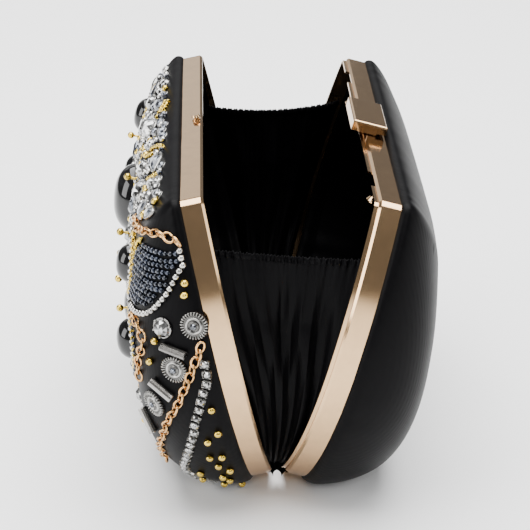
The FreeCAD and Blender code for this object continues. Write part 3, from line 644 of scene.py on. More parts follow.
def seats(x, height, turn=0.0, sink=0.0):
    """Places and frames on the front dome: columns are across, along and outwards, turned in the surface."""
    x, height = np.atleast_1d(np.asarray(x, float)), np.atleast_1d(np.asarray(height, float))
    turn = np.broadcast_to(np.asarray(turn, float), x.shape)
    normal = lean(dome_normal(x, height), "front", False)
    place = lean(dome_point(x, height), "front") - normal * sink
    side = np.cross(np.array([0.0, 0.0, 1.0]), normal)
    side /= np.linalg.norm(side, axis=-1, keepdims=True)
    along = np.cross(normal, side)
    c, n = np.cos(turn)[:, None], np.sin(turn)[:, None]
    across = side * c - along * n
    ahead = side * n + along * c
    return place, np.stack([across, ahead, normal], -1)


def smooth_path(points, pitch):
    """Spots a pitch apart along a smooth curve through (x, height) points in millimetres, and the curve's
    direction there: Catmull-Rom spans, then even steps of the length measured on the dome."""
    p = np.asarray(points, float) * MM
    p = np.concatenate([2 * p[:1] - p[1:2], p, 2 * p[-1:] - p[-2:-1]])
    t = np.linspace(0, 1, 24, endpoint=False)[:, None, None]
    a, b, c, d = p[:-3], p[1:-2], p[2:-1], p[3:]
    curve = 0.5 * (2 * b + (c - a) * t + (2 * a - 5 * b + 4 * c - d) * t ** 2
                   + (3 * b - a - 3 * c + d) * t ** 3)
    curve = np.concatenate([curve.transpose(1, 0, 2).reshape(-1, 2), p[-2:-1]])
    solid = dome_point(curve[:, 0], curve[:, 1])
    along = np.concatenate([[0.0], np.cumsum(np.linalg.norm(np.diff(solid, axis=0), axis=1))])
    count = max(int(along[-1] / pitch) + 1, 2)
    at = np.arange(count) * pitch
    at = at[at <= along[-1]]
    spots = np.stack([np.interp(at, along, curve[:, i]) for i in (0, 1)], -1)
    ahead = np.stack([np.interp(at + 0.0004, along, curve[:, i]) - np.interp(at - 0.0004, along, curve[:, i])
                      for i in (0, 1)], -1)
    return spots, np.arctan2(-ahead[:, 0], ahead[:, 1])


def ring_path(x, height, wide, tall, pitch):
    """Spots a pitch apart round an ellipse on the dome, and the ellipse's direction there."""
    turn = np.linspace(0, 2 * math.pi, 200)
    loop = np.stack([x + wide * np.cos(turn), height + tall * np.sin(turn)], -1)
    step = np.linalg.norm(np.diff(dome_point(loop[:, 0], loop[:, 1]), axis=0), axis=1)
    along = np.concatenate([[0.0], np.cumsum(step)])
    count = max(int(round(along[-1] / pitch)), 3)
    at = np.arange(count) * along[-1] / count
    where = np.interp(at, along, turn)
    spots = np.stack([x + wide * np.cos(where), height + tall * np.sin(where)], -1)
    return spots, np.arctan2(wide * np.sin(where), tall * np.cos(where))


def inside(spots, corners):
    """Which spots lie in a polygon: an odd number of its sides crosses the ray to the right."""
    x, y = spots[:, 0:1], spots[:, 1:2]
    x0, y0 = corners[:, 0], corners[:, 1]
    x1, y1 = np.roll(x0, -1), np.roll(y0, -1)
    crosses = (y0 > y) != (y1 > y)
    with np.errstate(divide="ignore", invalid="ignore"):
        at = x0 + (y - y0) * (x1 - x0) / (y1 - y0)
    return (np.sum(crosses & (x < at), axis=1) % 2) == 1


# ---------------------------------------------------------------- soft parts

def unit_noise(count, seed, roughness=5):
    """Smooth closed noise along a loop: a sum of a few sine waves of random phase, about -1 to 1."""
    rng = np.random.default_rng(seed)
    turn = np.linspace(0, 2 * math.pi, count, endpoint=False)[:, None]
    waves = np.arange(3, 3 + roughness * 4)[None, :]
    size = rng.normal(0, 1, waves.shape) / waves ** 0.5
    noise = np.sum(size * np.sin(waves * turn + rng.uniform(0, 2 * math.pi, waves.shape)), axis=1)
    return noise / np.abs(noise).max()


def dome_rows(edge_rows=34, face_rows=22):
    """Shares from the rim to the middle: even steps of depth near the rim, then even steps of share."""
    s = shape()
    depth = np.linspace(0.0, 0.9, edge_rows)
    near = (1.0 - depth ** s.depth_power) ** (1.0 / s.side_power)
    return np.concatenate([near, np.linspace(near[-1], 0.004, face_rows)[1:]])


def dome_grid(turn, rows, thin=0.0):
    """Dome points for every row share and direction, the whole dome drawn in by a thickness."""
    s = shape()
    share = rows[:, None]
    reach = reach_at(turn[None, :], share) + s.bulge - thin
    x = end_share(share) * reach * np.cos(turn)
    height = s.centre + share * reach * np.sin(turn)
    y = leaned_depth(dome_depth(share, thin), height)
    return np.stack([x, y + 0 * x, height + s.drop], -1)


def rim_rows(turn, profile):
    """Rows round the rim, each at an offset out from the outline and a depth beyond the band's back edge."""
    s = shape()
    reach = rim_reach(turn)
    rows = []
    for out, deep in profile:
        height = s.centre + (reach + out * MM) * np.sin(turn)
        depth = leaned_depth(max(deep, 0.0) * MM, height) + min(deep, 0.0) * MM
        rows.append(np.stack([(reach + out * MM) * np.cos(turn), depth, height + s.drop], -1))
    return np.stack(rows)


SHEET_COLUMNS = 560


def dome_sheet(name, half, profile, thin, puckers, key, inward):
    """Cloth over or inside a dome: rim rows, then dome rows, then a middle point. Puckers run in from the
    rim; they are given as height, reach, seed and number of waves."""
    columns = SHEET_COLUMNS
    turn = rim_angles(columns)
    rows = dome_rows()
    grid = np.concatenate([rim_rows(turn, profile), dome_grid(turn, rows, thin)])
    middle = grid[-1].mean(0, keepdims=True)
    count = len(grid)
    depth_in = np.concatenate([np.zeros(len(profile)), np.cumsum(
        np.linalg.norm(np.diff(grid[len(profile) - 1:], axis=0), axis=2).mean(1))])
    grow = np.clip(np.arange(count) / len(profile), 0, 1)
    fade = (grow * np.exp(-depth_in / (puckers[1] * MM)))[:, None]
    drawn = unit_noise(columns, puckers[2], puckers[3])
    slow = unit_noise(columns, puckers[2] + 1, 3)
    sway = np.sin(depth_in[:, None] / 0.006 + 3.0 * slow[None, :])
    lift = (fade * drawn + 0.25 * np.exp(-depth_in / 0.045)[:, None] * slow * sway) * puckers[0] * MM
    slope_a = np.roll(grid, -1, axis=1) - np.roll(grid, 1, axis=1)
    slope_b = np.gradient(grid, axis=0)
    normal = np.cross(slope_a, slope_b)
    normal /= np.maximum(np.linalg.norm(normal, axis=-1, keepdims=True), 1e-12)
    grid = grid + normal * lift[..., None]
    points = np.concatenate([grid.reshape(-1, 3), middle])
    quads = grid_quads(count, columns, True)
    last = (count - 1) * columns + np.arange(columns)
    tris = np.stack([last, (count - 1) * columns + (np.arange(columns) + 1) % columns,
                     np.full(columns, count * columns)], -1)
    turned_in = (half == "front") != inward
    if turned_in:
        quads, tris = quads[:, ::-1], tris[:, ::-1]
    uv = np.stack([points[:, 0], points[:, 2] + points[:, 1]], -1)
    return make_mesh(name, lean(points, half), quads, tris, key, uv)


# Edge of each cloth at the frame: millimetres out from the outline, and beyond the band's back edge
COVER_RIM = ((-1.7, -1.4), (-1.5, -0.4), (-0.7, 0.02), (0.1, 0.2), (0.7, 0.75), (1.05, 1.6), (1.18, 2.4))
LINING_RIMS = {"front": ((-1.7, -5.6), (-1.7, -4.5), (-1.8, -3), (-2.9, -1.8), (-2.9, -0.4), (-2.6, 0.9)),
               "back": ((-2.4, -2.7), (-2.9, -2.0), (-2.9, -0.4), (-2.6, 0.9))}


class EVENINGBAG_OT_covers(Operator):
    """Black satin stretched over the two domed shells"""
    bl_idname = "evening_bag.covers"
    bl_label = "Satin covers"

    def execute(self, context):
        for half, seed in (("front", 3), ("back", 8)):
            cover = dome_sheet(half + "_satin", half, COVER_RIM, 0.0, (0.16, 7.0, seed, 14), "satin", False)
            solid = cover.modifiers.new("Cloth", "SOLIDIFY")
            solid.thickness = 0.5 * MM
            solid.offset = -1.0
            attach(cover, half + "_half")
            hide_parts(half + "_cover")
        return {"FINISHED"}


class EVENINGBAG_OT_linings(Operator):
    """Black satin lining, drawn into soft folds along the frame"""
    bl_idname = "evening_bag.linings"
    bl_label = "Linings"

    def execute(self, context):
        for half, seed in (("front", 21), ("back", 34)):
            lining = dome_sheet(half + "_satin_lining", half, LINING_RIMS[half], 3.3 * MM,
                                (0.75, 20.0, seed, 18), "lining", True)
            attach(lining, half + "_half")
            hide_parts(half + "_lining")
        return {"FINISHED"}


def half_width(height):
    """Half the outline's length at each height, read off the dense outline's right side."""
    points = outline()
    right = points[points[:, 0] > 0]
    order = np.argsort(right[:, 1])
    return np.interp(height, right[order, 1], right[order, 0])


GUSSET_COLUMNS, GUSSET_ROWS = 361, 150
GATHERS = 24
# Top edge of each wing on the front frame; both meet the back frame at the same height
WING_FRONT = {1: 0.1008, -1: 0.0942}
WING_BACK = 0.0980
WING_BOTTOM = 0.0008
WING_DEPTH = 3.4 * MM
# The wing narrows below this height and hangs no further in than it does there
WING_NARROWS = 0.007
WING_HANGS = 0.0045


def gusset_grid(side, columns, rows):
    """Gathered cloth between the frames. Across runs from the front frame to the back one, down from the top
    edge to where the frames meet. Each row is a straight line between the frames, tucked in at both ends,
    that sags inwards and carries three sets of folds: fine ones at the elastic that die out below it,
    broader ones that open out downwards, and slow billows."""
    s = shape()
    across = np.linspace(0.0, 1.0, columns)[None, :]
    down = np.linspace(0.0, 1.0, rows)[:, None] ** 1.15
    tuck = np.exp(-((across / 0.045) ** 2)) + np.exp(-(((1 - across) / 0.045) ** 2))
    inset = (5.2 - 2.0 * tuck) * MM
    edges = []
    for half, top in (("front", WING_FRONT[side]), ("back", WING_BACK)):
        height = top + (WING_BOTTOM - top) * down
        deep = WING_DEPTH * np.clip(height[:, 0] / WING_NARROWS, 0.25, 1.0)
        edge = np.stack([half_width(np.maximum(height[:, 0], WING_HANGS)), deep, height[:, 0] + s.drop], -1)
        edges.append(lean(edge, half))
    line = edges[0][:, None] * (1 - across[..., None]) + edges[1][:, None] * across[..., None]
    slack = np.sin(math.pi * across)
    seed = 0.7 if side > 0 else 2.9
    drift = 0.05 * np.sin(2 * math.pi * across * 1.5 + seed + 2.2 * down)
    waver = 0.5 * np.sin(9 * across + seed)
    fine = np.exp(-down / 0.05) * 0.30 * np.sin(2 * math.pi * (GATHERS * across + waver))
    broad = np.sin(2 * math.pi * (9.5 * (across + drift) + 0.35 * np.sin(5 * across + seed)))
    broad = (0.14 + 0.36 * np.minimum(down / 0.2, 1.0)) * (1 - down) ** 0.6 * np.exp(-down / 0.6) * broad
    billow = 1.7 * np.minimum(down / 0.3, 1.0) * (1 - down) ** 0.5 * np.sin(
        2 * math.pi * (3.2 * (across - 0.5) * (1 + 0.25 * down) + 0.25 * np.sin(6.0 * down + seed)) + seed)
    folds = (fine + broad + billow) * MM * np.minimum(slack * 3.0, 1.0)
    sag = (2.5 + 6.0 * np.minimum(down / 0.25, 1.0) * (1 - down)) * MM * slack
    drop = 1.6 * MM * slack * np.exp(-down / 0.2)
    frill = np.exp(-down / 0.012) * 0.22 * MM * np.sin(2 * math.pi * GATHERS * across * 2 + seed)
    line[..., 0] = side * (line[..., 0] - inset - sag - folds)
    line[..., 1] += 0.25 * folds * np.cos(2 * math.pi * 9.5 * across)
    line[..., 2] += -drop + frill
    flat_x = np.cumsum(np.linalg.norm(np.diff(line, axis=1, prepend=line[:, :1]), axis=2), axis=1)
    uv = np.stack([flat_x, height + 0 * across], -1)
    return line, uv


class EVENINGBAG_OT_gussets(Operator):
    """Gathered satin wings between the frames, each with a casing round its elastic"""
    bl_idname = "evening_bag.gussets"
    bl_label = "Gussets"

    def execute(self, context):
        for side, word in ((-1, "left"), (1, "right")):
            line, uv = gusset_grid(side, GUSSET_COLUMNS, GUSSET_ROWS)
            quads = grid_quads(GUSSET_ROWS, GUSSET_COLUMNS)
            if side < 0:
                quads = quads[:, ::-1]
            wing = make_mesh("gusset_satin_" + word, line.reshape(-1, 3), quads, None, "lining",
                             uv.reshape(-1, 2))
            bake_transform(wing)
            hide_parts("gusset_" + word)
            hem = self.casing(side, word, line, uv)
            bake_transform(hem)
            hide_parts("gusset_elastic_" + word)
        return {"FINISHED"}

    @staticmethod
    def casing(side, word, line, uv):
        """Casing: a flattened tube along the wing's top edge. Its oval cross-section swells and pinches
        between the gathers, and it ends inside the frames."""
        rows = 14
        edge = line[0]
        across = np.linspace(0.0, 1.0, len(edge))
        turn = np.linspace(0.0, 2 * math.pi, rows, endpoint=False)[:, None]
        swell = (1.0 + 0.28 * np.sin(2 * math.pi * GATHERS * across + 0.9)
                 + 0.1 * np.sin(2 * math.pi * 57 * across))
        closed = np.minimum(np.minimum(across, 1 - across) / 0.006, 1.0) ** 0.5
        thick = 0.55 * MM * swell * closed
        tall = 1.25 * MM * (0.75 + 0.25 * swell) * closed
        points = np.repeat(edge[None], rows, 0).copy()
        points[..., 0] += side * thick * np.cos(turn)
        points[..., 2] += tall * np.sin(turn) - 0.9 * MM
        quads = grid_quads(rows + 1, len(edge)) % (rows * len(edge))
        if side > 0:
            quads = quads[:, ::-1]
        flat = np.stack([np.repeat(uv[0, :, 0][None], rows, 0), 0.001 * turn + 0 * across], -1)
        return make_mesh("elastic_casing_" + word, points.reshape(-1, 3), quads, None, "lining",
                         flat.reshape(-1, 2))


# ---------------------------------------------------------------- beadwork patterns

# Oval stones: x, height, half height, half width, rise, in millimetres
CABOCHONS = ((-6, 91, 13, 10, 8), (-63, 102, 7, 5.5, 5), (54, 91, 7, 5.5, 5.5), (59, 65.5, 7.5, 6.2, 6),
             (-46, 86, 7, 5.5, 5.5), (-59, 65.5, 7.5, 6.2, 6), (0, 50, 10, 7.5, 6.5))
# Round cut stones: x, height, radius
ROUND_STONES = ((-13.5, 112.3, 4.1), (33.8, 107.5, 3.9), (16, 108.5, 3.3), (4, 113, 2.6), (-33, 107, 3.3),
                (-48, 111, 3.0), (-79, 108.5, 2.6), (45, 114, 2.4), (85.2, 79.5, 3.3), (-85.2, 79.5, 3.3),
                (22, 74, 4.0), (-24, 72, 4.0), (0, 68.5, 3.2), (24, 36, 3.6), (-24, 36, 3.6), (36, 94, 3.2),
                (-28, 96, 2.8), (30, 84, 2.8), (44, 36, 2.8), (-44, 36, 2.8), (40, 101, 2.4))
def mirrored(places):
    """The same places at the other end of the bag."""
    return tuple((-x, height) for x, height in places)


# Pointed stones: x, height, turn from upright in degrees, length, width, kind
NAVETTES = ((-30, 115.5, 78, 10, 5, "smoke"), (55, 109.5, 35, 9.5, 4.4, "rim"),
            (67.5, 112.5, 62, 9.5, 4.4, "rim"), (30.5, 115.5, 104, 10.5, 5.6, "drop"),
            (-57, 112.5, -50, 9, 4.4, "rim"), (-72, 111, -62, 9, 4.4, "rim"), (14.5, 80.5, 38, 9, 4.4, "smoke"),
            (-27, 81, -38, 9, 4.4, "smoke"), (38, 72, 62, 9, 4.4, "rim"), (-38, 71, -62, 9, 4.4, "rim"),
            (14.5, 64, 20, 9, 4.4, "smoke"), (-14.5, 64, -20, 9, 4.4, "smoke"), (26, 100, 30, 9, 4.4, "smoke"),
            (-36, 98, -40, 9, 4.4, "smoke"), (30, 58, -30, 9, 4.4, "rim"), (-30, 58, 30, 9, 4.4, "rim"))
FLUTED_END = ((89.8, 80.1), (87.6, 65), (79.2, 49.8))
FLUTED = FLUTED_END + mirrored(FLUTED_END) + ((12, 18), (-28, 18))
# Glass rods: x, height, turn from upright in degrees
BUGLES = ((87.8, 71.9, 96), (84.1, 57, 118), (71, 40, 150), (-87.8, 71.9, -96), (-84.1, 57, -120),
          (-71, 40, -150), (30, 20, 82), (-8, 22, 66), (45, 48, 50), (-45, 48, -50))
# Gold beads of one end, repeated at the other, and those in between
GOLD_END = ((86.9, 94.4), (87.6, 90.6), (83.5, 74.6), (81.5, 66.7), (89.9, 49), (87.3, 38.5), (84.9, 34.8),
            (80.7, 26.5), (78.3, 21.3), (82, 26.5), (70.2, 15.3), (72.3, 13.3), (61.5, 8), (64.5, 6.2),
            (77, 18), (70.6, 10.6), (59, 1.5), (50, 1.5), (54, 5.5), (45, 4), (38, 9.5), (52, 30), (44, 24))
GOLD_SCATTER = tuple((sign * x, h) for sign in (1, -1) for x, h in GOLD_END) + ((0, 12), (22, 11), (-18, 11))
PINNED = ((-56, 96, 4.2), (24, 82, 4.0), (43, 97, 4.2), (46, 82, 4.0), (-33, 88, 4.0), (-46, 74, 4.0),
          (48, 72, 4.0), (12, 104, 4.4))
CHAIN_LOOP = ((67.5, 78.3), (71, 78.8), (75.4, 77.4), (78.4, 74.2), (77.6, 69.5), (74.6, 64.5), (73.5, 58))
CHAIN_FALL = ((91.3, 73), (90.8, 70.5), (90.3, 66), (89.5, 61), (88, 55.8), (85.8, 50.2), (81.2, 43),
              (76, 35.8), (66, 25.5), (58, 16))
CURB_CHAINS = (((48, 104.5), (60, 105.2), (72, 108.6), (79.3, 109.3), (83.5, 107)),
               CHAIN_LOOP, CHAIN_FALL, mirrored(CHAIN_LOOP), mirrored(CHAIN_FALL),
               ((-36, 43), (-31, 31), (-17, 27), (0, 28.3), (17, 27), (31, 31), (36, 43)))
CUP_FALL = ((91.3, 66.5), (91.2, 62), (91, 58.8), (90.3, 55), (88.9, 49.3), (86.9, 43.8), (84.4, 38),
            (80.8, 32), (75.8, 25.5), (69.4, 19), (62.5, 11.5), (57, 4))
CUP_CHAINS = (CUP_FALL, mirrored(CUP_FALL),
              ((-38, 52), (-28, 46), (-17, 41.5), (-9, 36.3), (0, 33.8), (9, 36.3), (17, 41.5), (28, 46),
               (38, 52)))
SEED_FIELDS = (((67.5, 101.5), (70, 104.4), (79, 106.2), (83.8, 105.4), (84.7, 100.8), (84.1, 97.5),
                (84.3, 93.5), (82.2, 89), (78.8, 85.4), (70, 83.6), (63, 83), (66.5, 90), (66.2, 96)),
               ((-67.5, 94.5), (-71, 101), (-79, 104), (-83.8, 104.6), (-84.7, 100.8), (-84.1, 97.5),
                (-84.3, 93.5), (-82.2, 89), (-78.8, 85.4), (-70, 83.6), (-58, 83), (-57, 88)))
SILVER_ROWS = (((85, 106), (85.4, 102), (85.5, 99), (85.4, 96), (85.2, 93), (84.4, 89.8), (82.8, 86.4),
                (80.2, 83.6), (76, 82), (71, 81.3), (65, 80.8)),
               ((-85, 105), (-85.4, 102), (-85.5, 99), (-85.4, 96), (-85.2, 93), (-84.4, 89.8), (-82.8, 86.4),
                (-80.2, 83.6), (-76, 82), (-71, 81.3), (-65, 80.8)))
# Rows of small gold beads: corner points
GOLD_ROWS = (((10, 113.4), (14, 115.3), (18, 116.7), (22, 117.5)), ((9, 110.8), (13, 112.6), (17, 114)),
             ((-18, 117), (-22, 118), (-25, 118.4)), ((-19, 115), (-23, 116.6), (-26, 117.5)),
             ((36, 112.4), (40, 114.4), (43, 116)), ((39, 110.6), (44, 111)),
             ((-54, 107), (-50, 106.5), (-44, 106)),
             ((69.5, 105), (66.4, 102.6), (65, 98), (64.9, 94), (64.8, 90), (62, 84.5)),
             ((-67, 92), (-60, 90), (-56, 86), (-55, 81)), ((-38, 47), (-30, 51.5), (-21, 52), (-16, 57)),
             ((38, 47), (30, 51.5), (21, 52), (16, 57)))
FEET = 9


def occupied_discs():
    """Everything listed, as surface points with the radius that it covers."""
    spots, radii = [], []
    for x, h, tall, wide, _rise in CABOCHONS:
        for k in np.linspace(-0.45, 0.45, 3):
            spots.append((x, h + k * tall))
            radii.append(wide * 0.95 + 4.3)
    for x, h, radius in ROUND_STONES:
        spots.append((x, h))
        radii.append(radius + 0.4)
    for x, h, turn, long, wide, _kind in NAVETTES:
        a = math.radians(turn)
        for k in (-0.3, 0.0, 0.3):
            spots.append((x + math.sin(a) * long * k, h + math.cos(a) * long * k))
            radii.append(wide * 0.5 + 0.3)
    for x, h in FLUTED:
        spots.append((x, h))
        radii.append(5.4)
    for x, h, turn in BUGLES:
        a = math.radians(turn)
        for k in (-3.6, -1.2, 1.2, 3.6):
            spots.append((x + math.sin(a) * k, h + math.cos(a) * k))
            radii.append(1.9)
    for rows, pitch, radius in ((CURB_CHAINS, 2.0, 2.1), (CUP_CHAINS, 3.0, 1.9), (SILVER_ROWS, 2.0, 1.3),
                                (GOLD_ROWS, 1.8, 1.1)):
        for row in rows:
            path, _turn = smooth_path(row, pitch * MM)
            spots.extend(map(tuple, path / MM))
            radii.extend([radius] * len(path))
    spots = np.array(spots, float) * MM
    return dome_point(spots[:, 0], spots[:, 1]), np.array(radii) * MM


def scatter(area, radius, gap, seed, taken, step=0.9):
    """Spots in an area, tried in random order and kept where the disc touches nothing already there.
    Each kept spot is added to the taken discs."""
    rng = np.random.default_rng(seed)
    corners = np.asarray(area, float) * MM
    low, high = corners.min(0), corners.max(0)
    x, h = np.meshgrid(np.arange(low[0], high[0], step * MM), np.arange(low[1], high[1], step * MM))
    spots = np.stack([x.ravel(), h.ravel()], -1)
    spots += rng.uniform(-0.4, 0.4, spots.shape) * step * MM
    spots = spots[inside(spots, corners)]
    spots = spots[share_at(spots[:, 0], spots[:, 1]) < 0.975]
    rng.shuffle(spots)
    solid = dome_point(spots[:, 0], spots[:, 1])
    places, radii = taken
    free = np.ones(len(spots), bool)
    for place, wide in zip(places, radii):
        free &= np.linalg.norm(solid - place, axis=1) > wide + (radius + gap) * MM
    spots, solid = spots[free], solid[free]
    kept = []
    open_still = np.ones(len(spots), bool)
    for index in range(len(spots)):
        if open_still[index]:
            kept.append(index)
            open_still &= np.linalg.norm(solid - solid[index], axis=1) > (2 * radius + gap) * MM
    return spots[kept], (np.concatenate([places, solid[kept]]),
                         np.concatenate([radii, np.full(len(kept), radius * MM)]))


CROWN = ((-80, 105), (-78, 115), (-62, 117.5), (-20, 118), (30, 117.6), (60, 116.5), (74, 114), (72, 111),
         (62, 107), (46, 104), (43, 92), (40, 80), (26, 66), (12, 62), (0, 62), (-12, 62), (-26, 66),
         (-38, 76), (-38, 92), (-50, 99), (-56, 108), (-70, 108))

_layout = {}


def layout():
    """All bead positions, worked out once: rows, halos, fields and the fillings between the stones."""
    if _layout:
        return _layout
    b = beads()
    taken = occupied_discs()
    found = {}
    for name, radius, gap, seed in (("small_stone", 2.0, 0.15, 41), ("silver", 1.15, 0.12, 42),
                                    ("gold", 1.15, 0.1, 43), ("seed", 0.95, 0.05, 44)):
        found[name], taken = scatter(CROWN, radius, gap, seed, taken)
    gold = [found["gold"], np.array(GOLD_SCATTER, float) * MM]
    silver = [found["silver"]]
    cups, cup_turns, navy, navy_turns = [], [], [found["seed"]], [np.zeros(len(found["seed"]))]
    small_gold = []
    for index, (x, h, tall, wide, _rise) in enumerate(CABOCHONS):
        edge = 2.1 if index == 0 else 1.6
        if index in (0, 6):
            spots, turn = ring_path(x * MM, h * MM, (wide + edge) * MM, (tall + edge) * MM, b.cup_pitch)
            cups.append(spots)
            cup_turns.append(turn)
            extra = 4.3
        else:
            spots, turn = ring_path(x * MM, h * MM, (wide + 1.2) * MM, (tall + 1.2) * MM,
                                    b.silver_ball * 0.98)
            silver.append(spots)
            extra = 3.0
        spots, turn = ring_path(x * MM, h * MM, (wide + extra) * MM, (tall + extra) * MM, b.seed * 1.06)
        small_gold.append(spots)
        if index in (3, 5):
            spots, turn = ring_path(x * MM, h * MM, (wide + 5.0) * MM, (tall + 5.0) * MM, b.seed * 1.12)
            navy.append(spots)
            navy_turns.append(math.pi / 2 - turn)
    for row in CUP_CHAINS:
        spots, turn = smooth_path(row, b.cup_pitch)
        cups.append(spots)
        cup_turns.append(turn)
    for row in SILVER_ROWS:
        silver.append(smooth_path(row, b.silver_ball * 1.04)[0])
    for row in GOLD_ROWS:
        small_gold.append(smooth_path(row, b.seed * 1.06)[0])
    rng = np.random.default_rng(b.seed_number)
    discs = occupied_discs()
    for field in SEED_FIELDS:
        corners = np.asarray(field, float) * MM
        sign = np.sign(corners[0, 0])
        rows = np.arange(corners[:, 1].min(), corners[:, 1].max(), 1.95 * MM)
        for number, level in enumerate(rows):
            line = np.arange(54.0, 89.0, 3.0) + (number % 2) * 0.9 + rng.uniform(-0.3, 0.3)
            wave = level / MM + 0.9 * np.sin((line - 40) / 9) + rng.normal(0, 0.15, len(line))
            spots, _turn = smooth_path(np.stack([sign * line, wave], -1), 1.98 * MM)
            spots = spots[inside(spots, corners)]
            solid = dome_point(spots[:, 0], spots[:, 1])
            clear = np.array([np.all(np.linalg.norm(discs[0] - p, axis=1) > discs[1] + 0.35 * MM)
                              for p in solid], bool)
            spots = spots[clear] if len(spots) else spots
            navy.append(spots)
            navy_turns.append(rng.normal(0.0, 0.18, len(spots)))
    _layout.update(found=found, gold=np.concatenate(gold), silver=np.concatenate(silver),
                   small_gold=np.concatenate(small_gold), cups=np.concatenate(cups),
                   cup_turns=np.concatenate(cup_turns), navy=np.concatenate(navy),
                   navy_turns=np.concatenate(navy_turns))
    return _layout


# ---------------------------------------------------------------- beadwork pieces

def ball_part(diameter, hole=0.26, segments=11):
    """Round bead with a hole along its first axis: circle section turned about the hole."""
    turn = np.linspace(math.asin(hole), math.pi - math.asin(hole), 8)
    profile = np.stack([np.sin(turn), -np.cos(turn)], -1) * diameter / 2
    dip = np.array([[0.0, -math.cos(math.asin(hole)) * 0.7 * diameter / 2],
                    [0.0, math.cos(math.asin(hole)) * 0.7 * diameter / 2]])
    points, quads, tris = lathe(np.concatenate([dip[:1], profile, dip[1:]]), segments)
    return points[:, [2, 0, 1]], quads, tris


def donut_part(diameter, long, around=9):
    """Seed bead with its hole along the first axis: an oval section turned about the hole."""
    hole = diameter * 0.17
    turn = np.linspace(0, 2 * math.pi, 7)[:-1]
    middle = (diameter / 2 + hole) / 2
    radius = middle + (diameter / 2 - hole) / 2 * np.cos(turn)
    high = long / 2 * np.sin(turn)
    u = np.linspace(0, 2 * math.pi, around, endpoint=False)[:, None]
    points = np.stack([high + 0 * u, radius * np.cos(u), radius * np.sin(u)], -1).reshape(-1, 3)
    quads = grid_quads(around + 1, len(turn), True) % (around * len(turn))
    return points, quads, np.zeros((0, 3), int)


def facet_part(radius, height, sides):
    """Cut stone: rings of points, every other one turned by half a side, that narrow to a flat table."""
    rings = ((1.0, 0.0, 0.0), (1.0, 0.3, 0.0), (0.86, 0.6, 0.5), (0.55, 1.0, 0.0))
    turn = np.arange(sides) * 2 * math.pi / sides
    points = [np.stack([radius * r * np.cos(turn + shift * 2 * math.pi / sides),
                        radius * r * np.sin(turn + shift * 2 * math.pi / sides),
                        np.full(sides, height * z)], -1) for r, z, shift in rings]
    points = np.concatenate(points + [np.array([[0.0, 0.0, height * 1.0]]), np.array([[0.0, 0.0, 0.0]])])
    i = np.arange(sides)
    j = (i + 1) % sides
    n = sides
    side = np.stack([i, j, j + n, i + n], -1)
    tris = np.concatenate([
        np.stack([i + n, j + n, i + 2 * n], -1), np.stack([j + n, j + 2 * n, i + 2 * n], -1),
        np.stack([i + 2 * n, j + 3 * n, i + 3 * n], -1), np.stack([i + 2 * n, j + 2 * n, j + 3 * n], -1),
        np.stack([i + 3 * n, j + 3 * n, np.full(n, 4 * n)], -1), np.stack([j, i, np.full(n, 4 * n + 1)], -1)])
    return points, side, tris


def shatter(points, quads, tris, rng):
    """Every facet given its own corners and its own tone, so that it is flat and unlike its neighbours; the
    cut-stone finishes paint each facet's reflection lighter or darker from that tone.
    """
    quads, tris = np.asarray(quads).reshape(-1, 4), np.asarray(tris).reshape(-1, 3)
    corners = np.concatenate([points[quads.ravel()], points[tris.ravel()]])
    split_quads = np.arange(quads.size).reshape(-1, 4)
    split_tris = np.arange(tris.size).reshape(-1, 3) + quads.size
    tone = np.concatenate([np.repeat(rng.random(len(quads)), 4), np.repeat(rng.random(len(tris)), 3)])
    return corners, split_quads, split_tris, tone


def pointed(angle_round, length_half, width_half, drop=False):
    """Outline of a pointed oval: width (1 - t squared) across at each place t from -1 to 1 along;
    a drop keeps one end round."""
    t = np.cos(angle_round)
    side = np.sin(angle_round)
    if drop:
        wide = np.where(t < 0, np.abs(side), np.abs(side) * (1 - 0.45 * np.clip(t, 0, 1)))
    else:
        wide = np.abs(side) ** 1.35
    return np.stack([np.sign(side) * wide * width_half, t * length_half], -1)


def ringed(outlines, heights):
    """Closed solid from a stack of same-sized outlines at rising heights, capped at the bottom and top."""
    count = len(outlines[0])
    points = np.concatenate([np.concatenate([line, np.full((count, 1), z)], 1)
                             for line, z in zip(outlines, heights)])
    quads = grid_quads(len(outlines), count, True)
    i = np.arange(count)
    j = (i + 1) % count
    low, high = len(points), len(points) + 1
    ends = [[*outlines[k].mean(0), heights[k]] for k in (0, -1)]
    points = np.concatenate([points, ends])
    top = (len(outlines) - 1) * count
    tris = np.concatenate([np.stack([j, i, np.full(count, low)], -1),
                           np.stack([top + i, top + j, np.full(count, high)], -1)])
    return points, quads, tris


def build(name, pieces_list, key, replaced, smooth=True, body="front_half"):
    """One piece from a list of (points, quads, tris, tone), put on its body."""
    solid = join(*[(p, q, t) for p, q, t, _tone in pieces_list])
    tone = np.concatenate([entry[3] for entry in pieces_list])
    piece = make_mesh(name, solid[0], solid[1], solid[2], key, None, tone, smooth)
    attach(piece, body)
    if replaced:
        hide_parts(*replaced)
    return piece


def strewn(part, spots, turn, sink, rng, jitter=0.0, scales=None):
    """A part copied to spots on the front dome, slightly tipped at random, with a tone for each copy."""
    place, frames = seats(spots[:, 0], spots[:, 1], turn, sink * MM)
    if jitter:
        tip = rng.normal(0, jitter, (len(spots), 3))
        frames = frames + np.cross(np.broadcast_to(tip[:, None, :], frames.shape), frames, axis=2)
        frames /= np.linalg.norm(frames, axis=1, keepdims=True)
    points, quads, tris = copies(part, place, frames, scales)
    return points, quads, tris, tones(len(spots), len(part[0]), rng)


def faceted(parts, rng):
    """Copies given as (points, quads, tris, tone), broken into facets."""
    solid = join(*[(p, q, t) for p, q, t, _tone in parts])
    return shatter(*solid, rng)


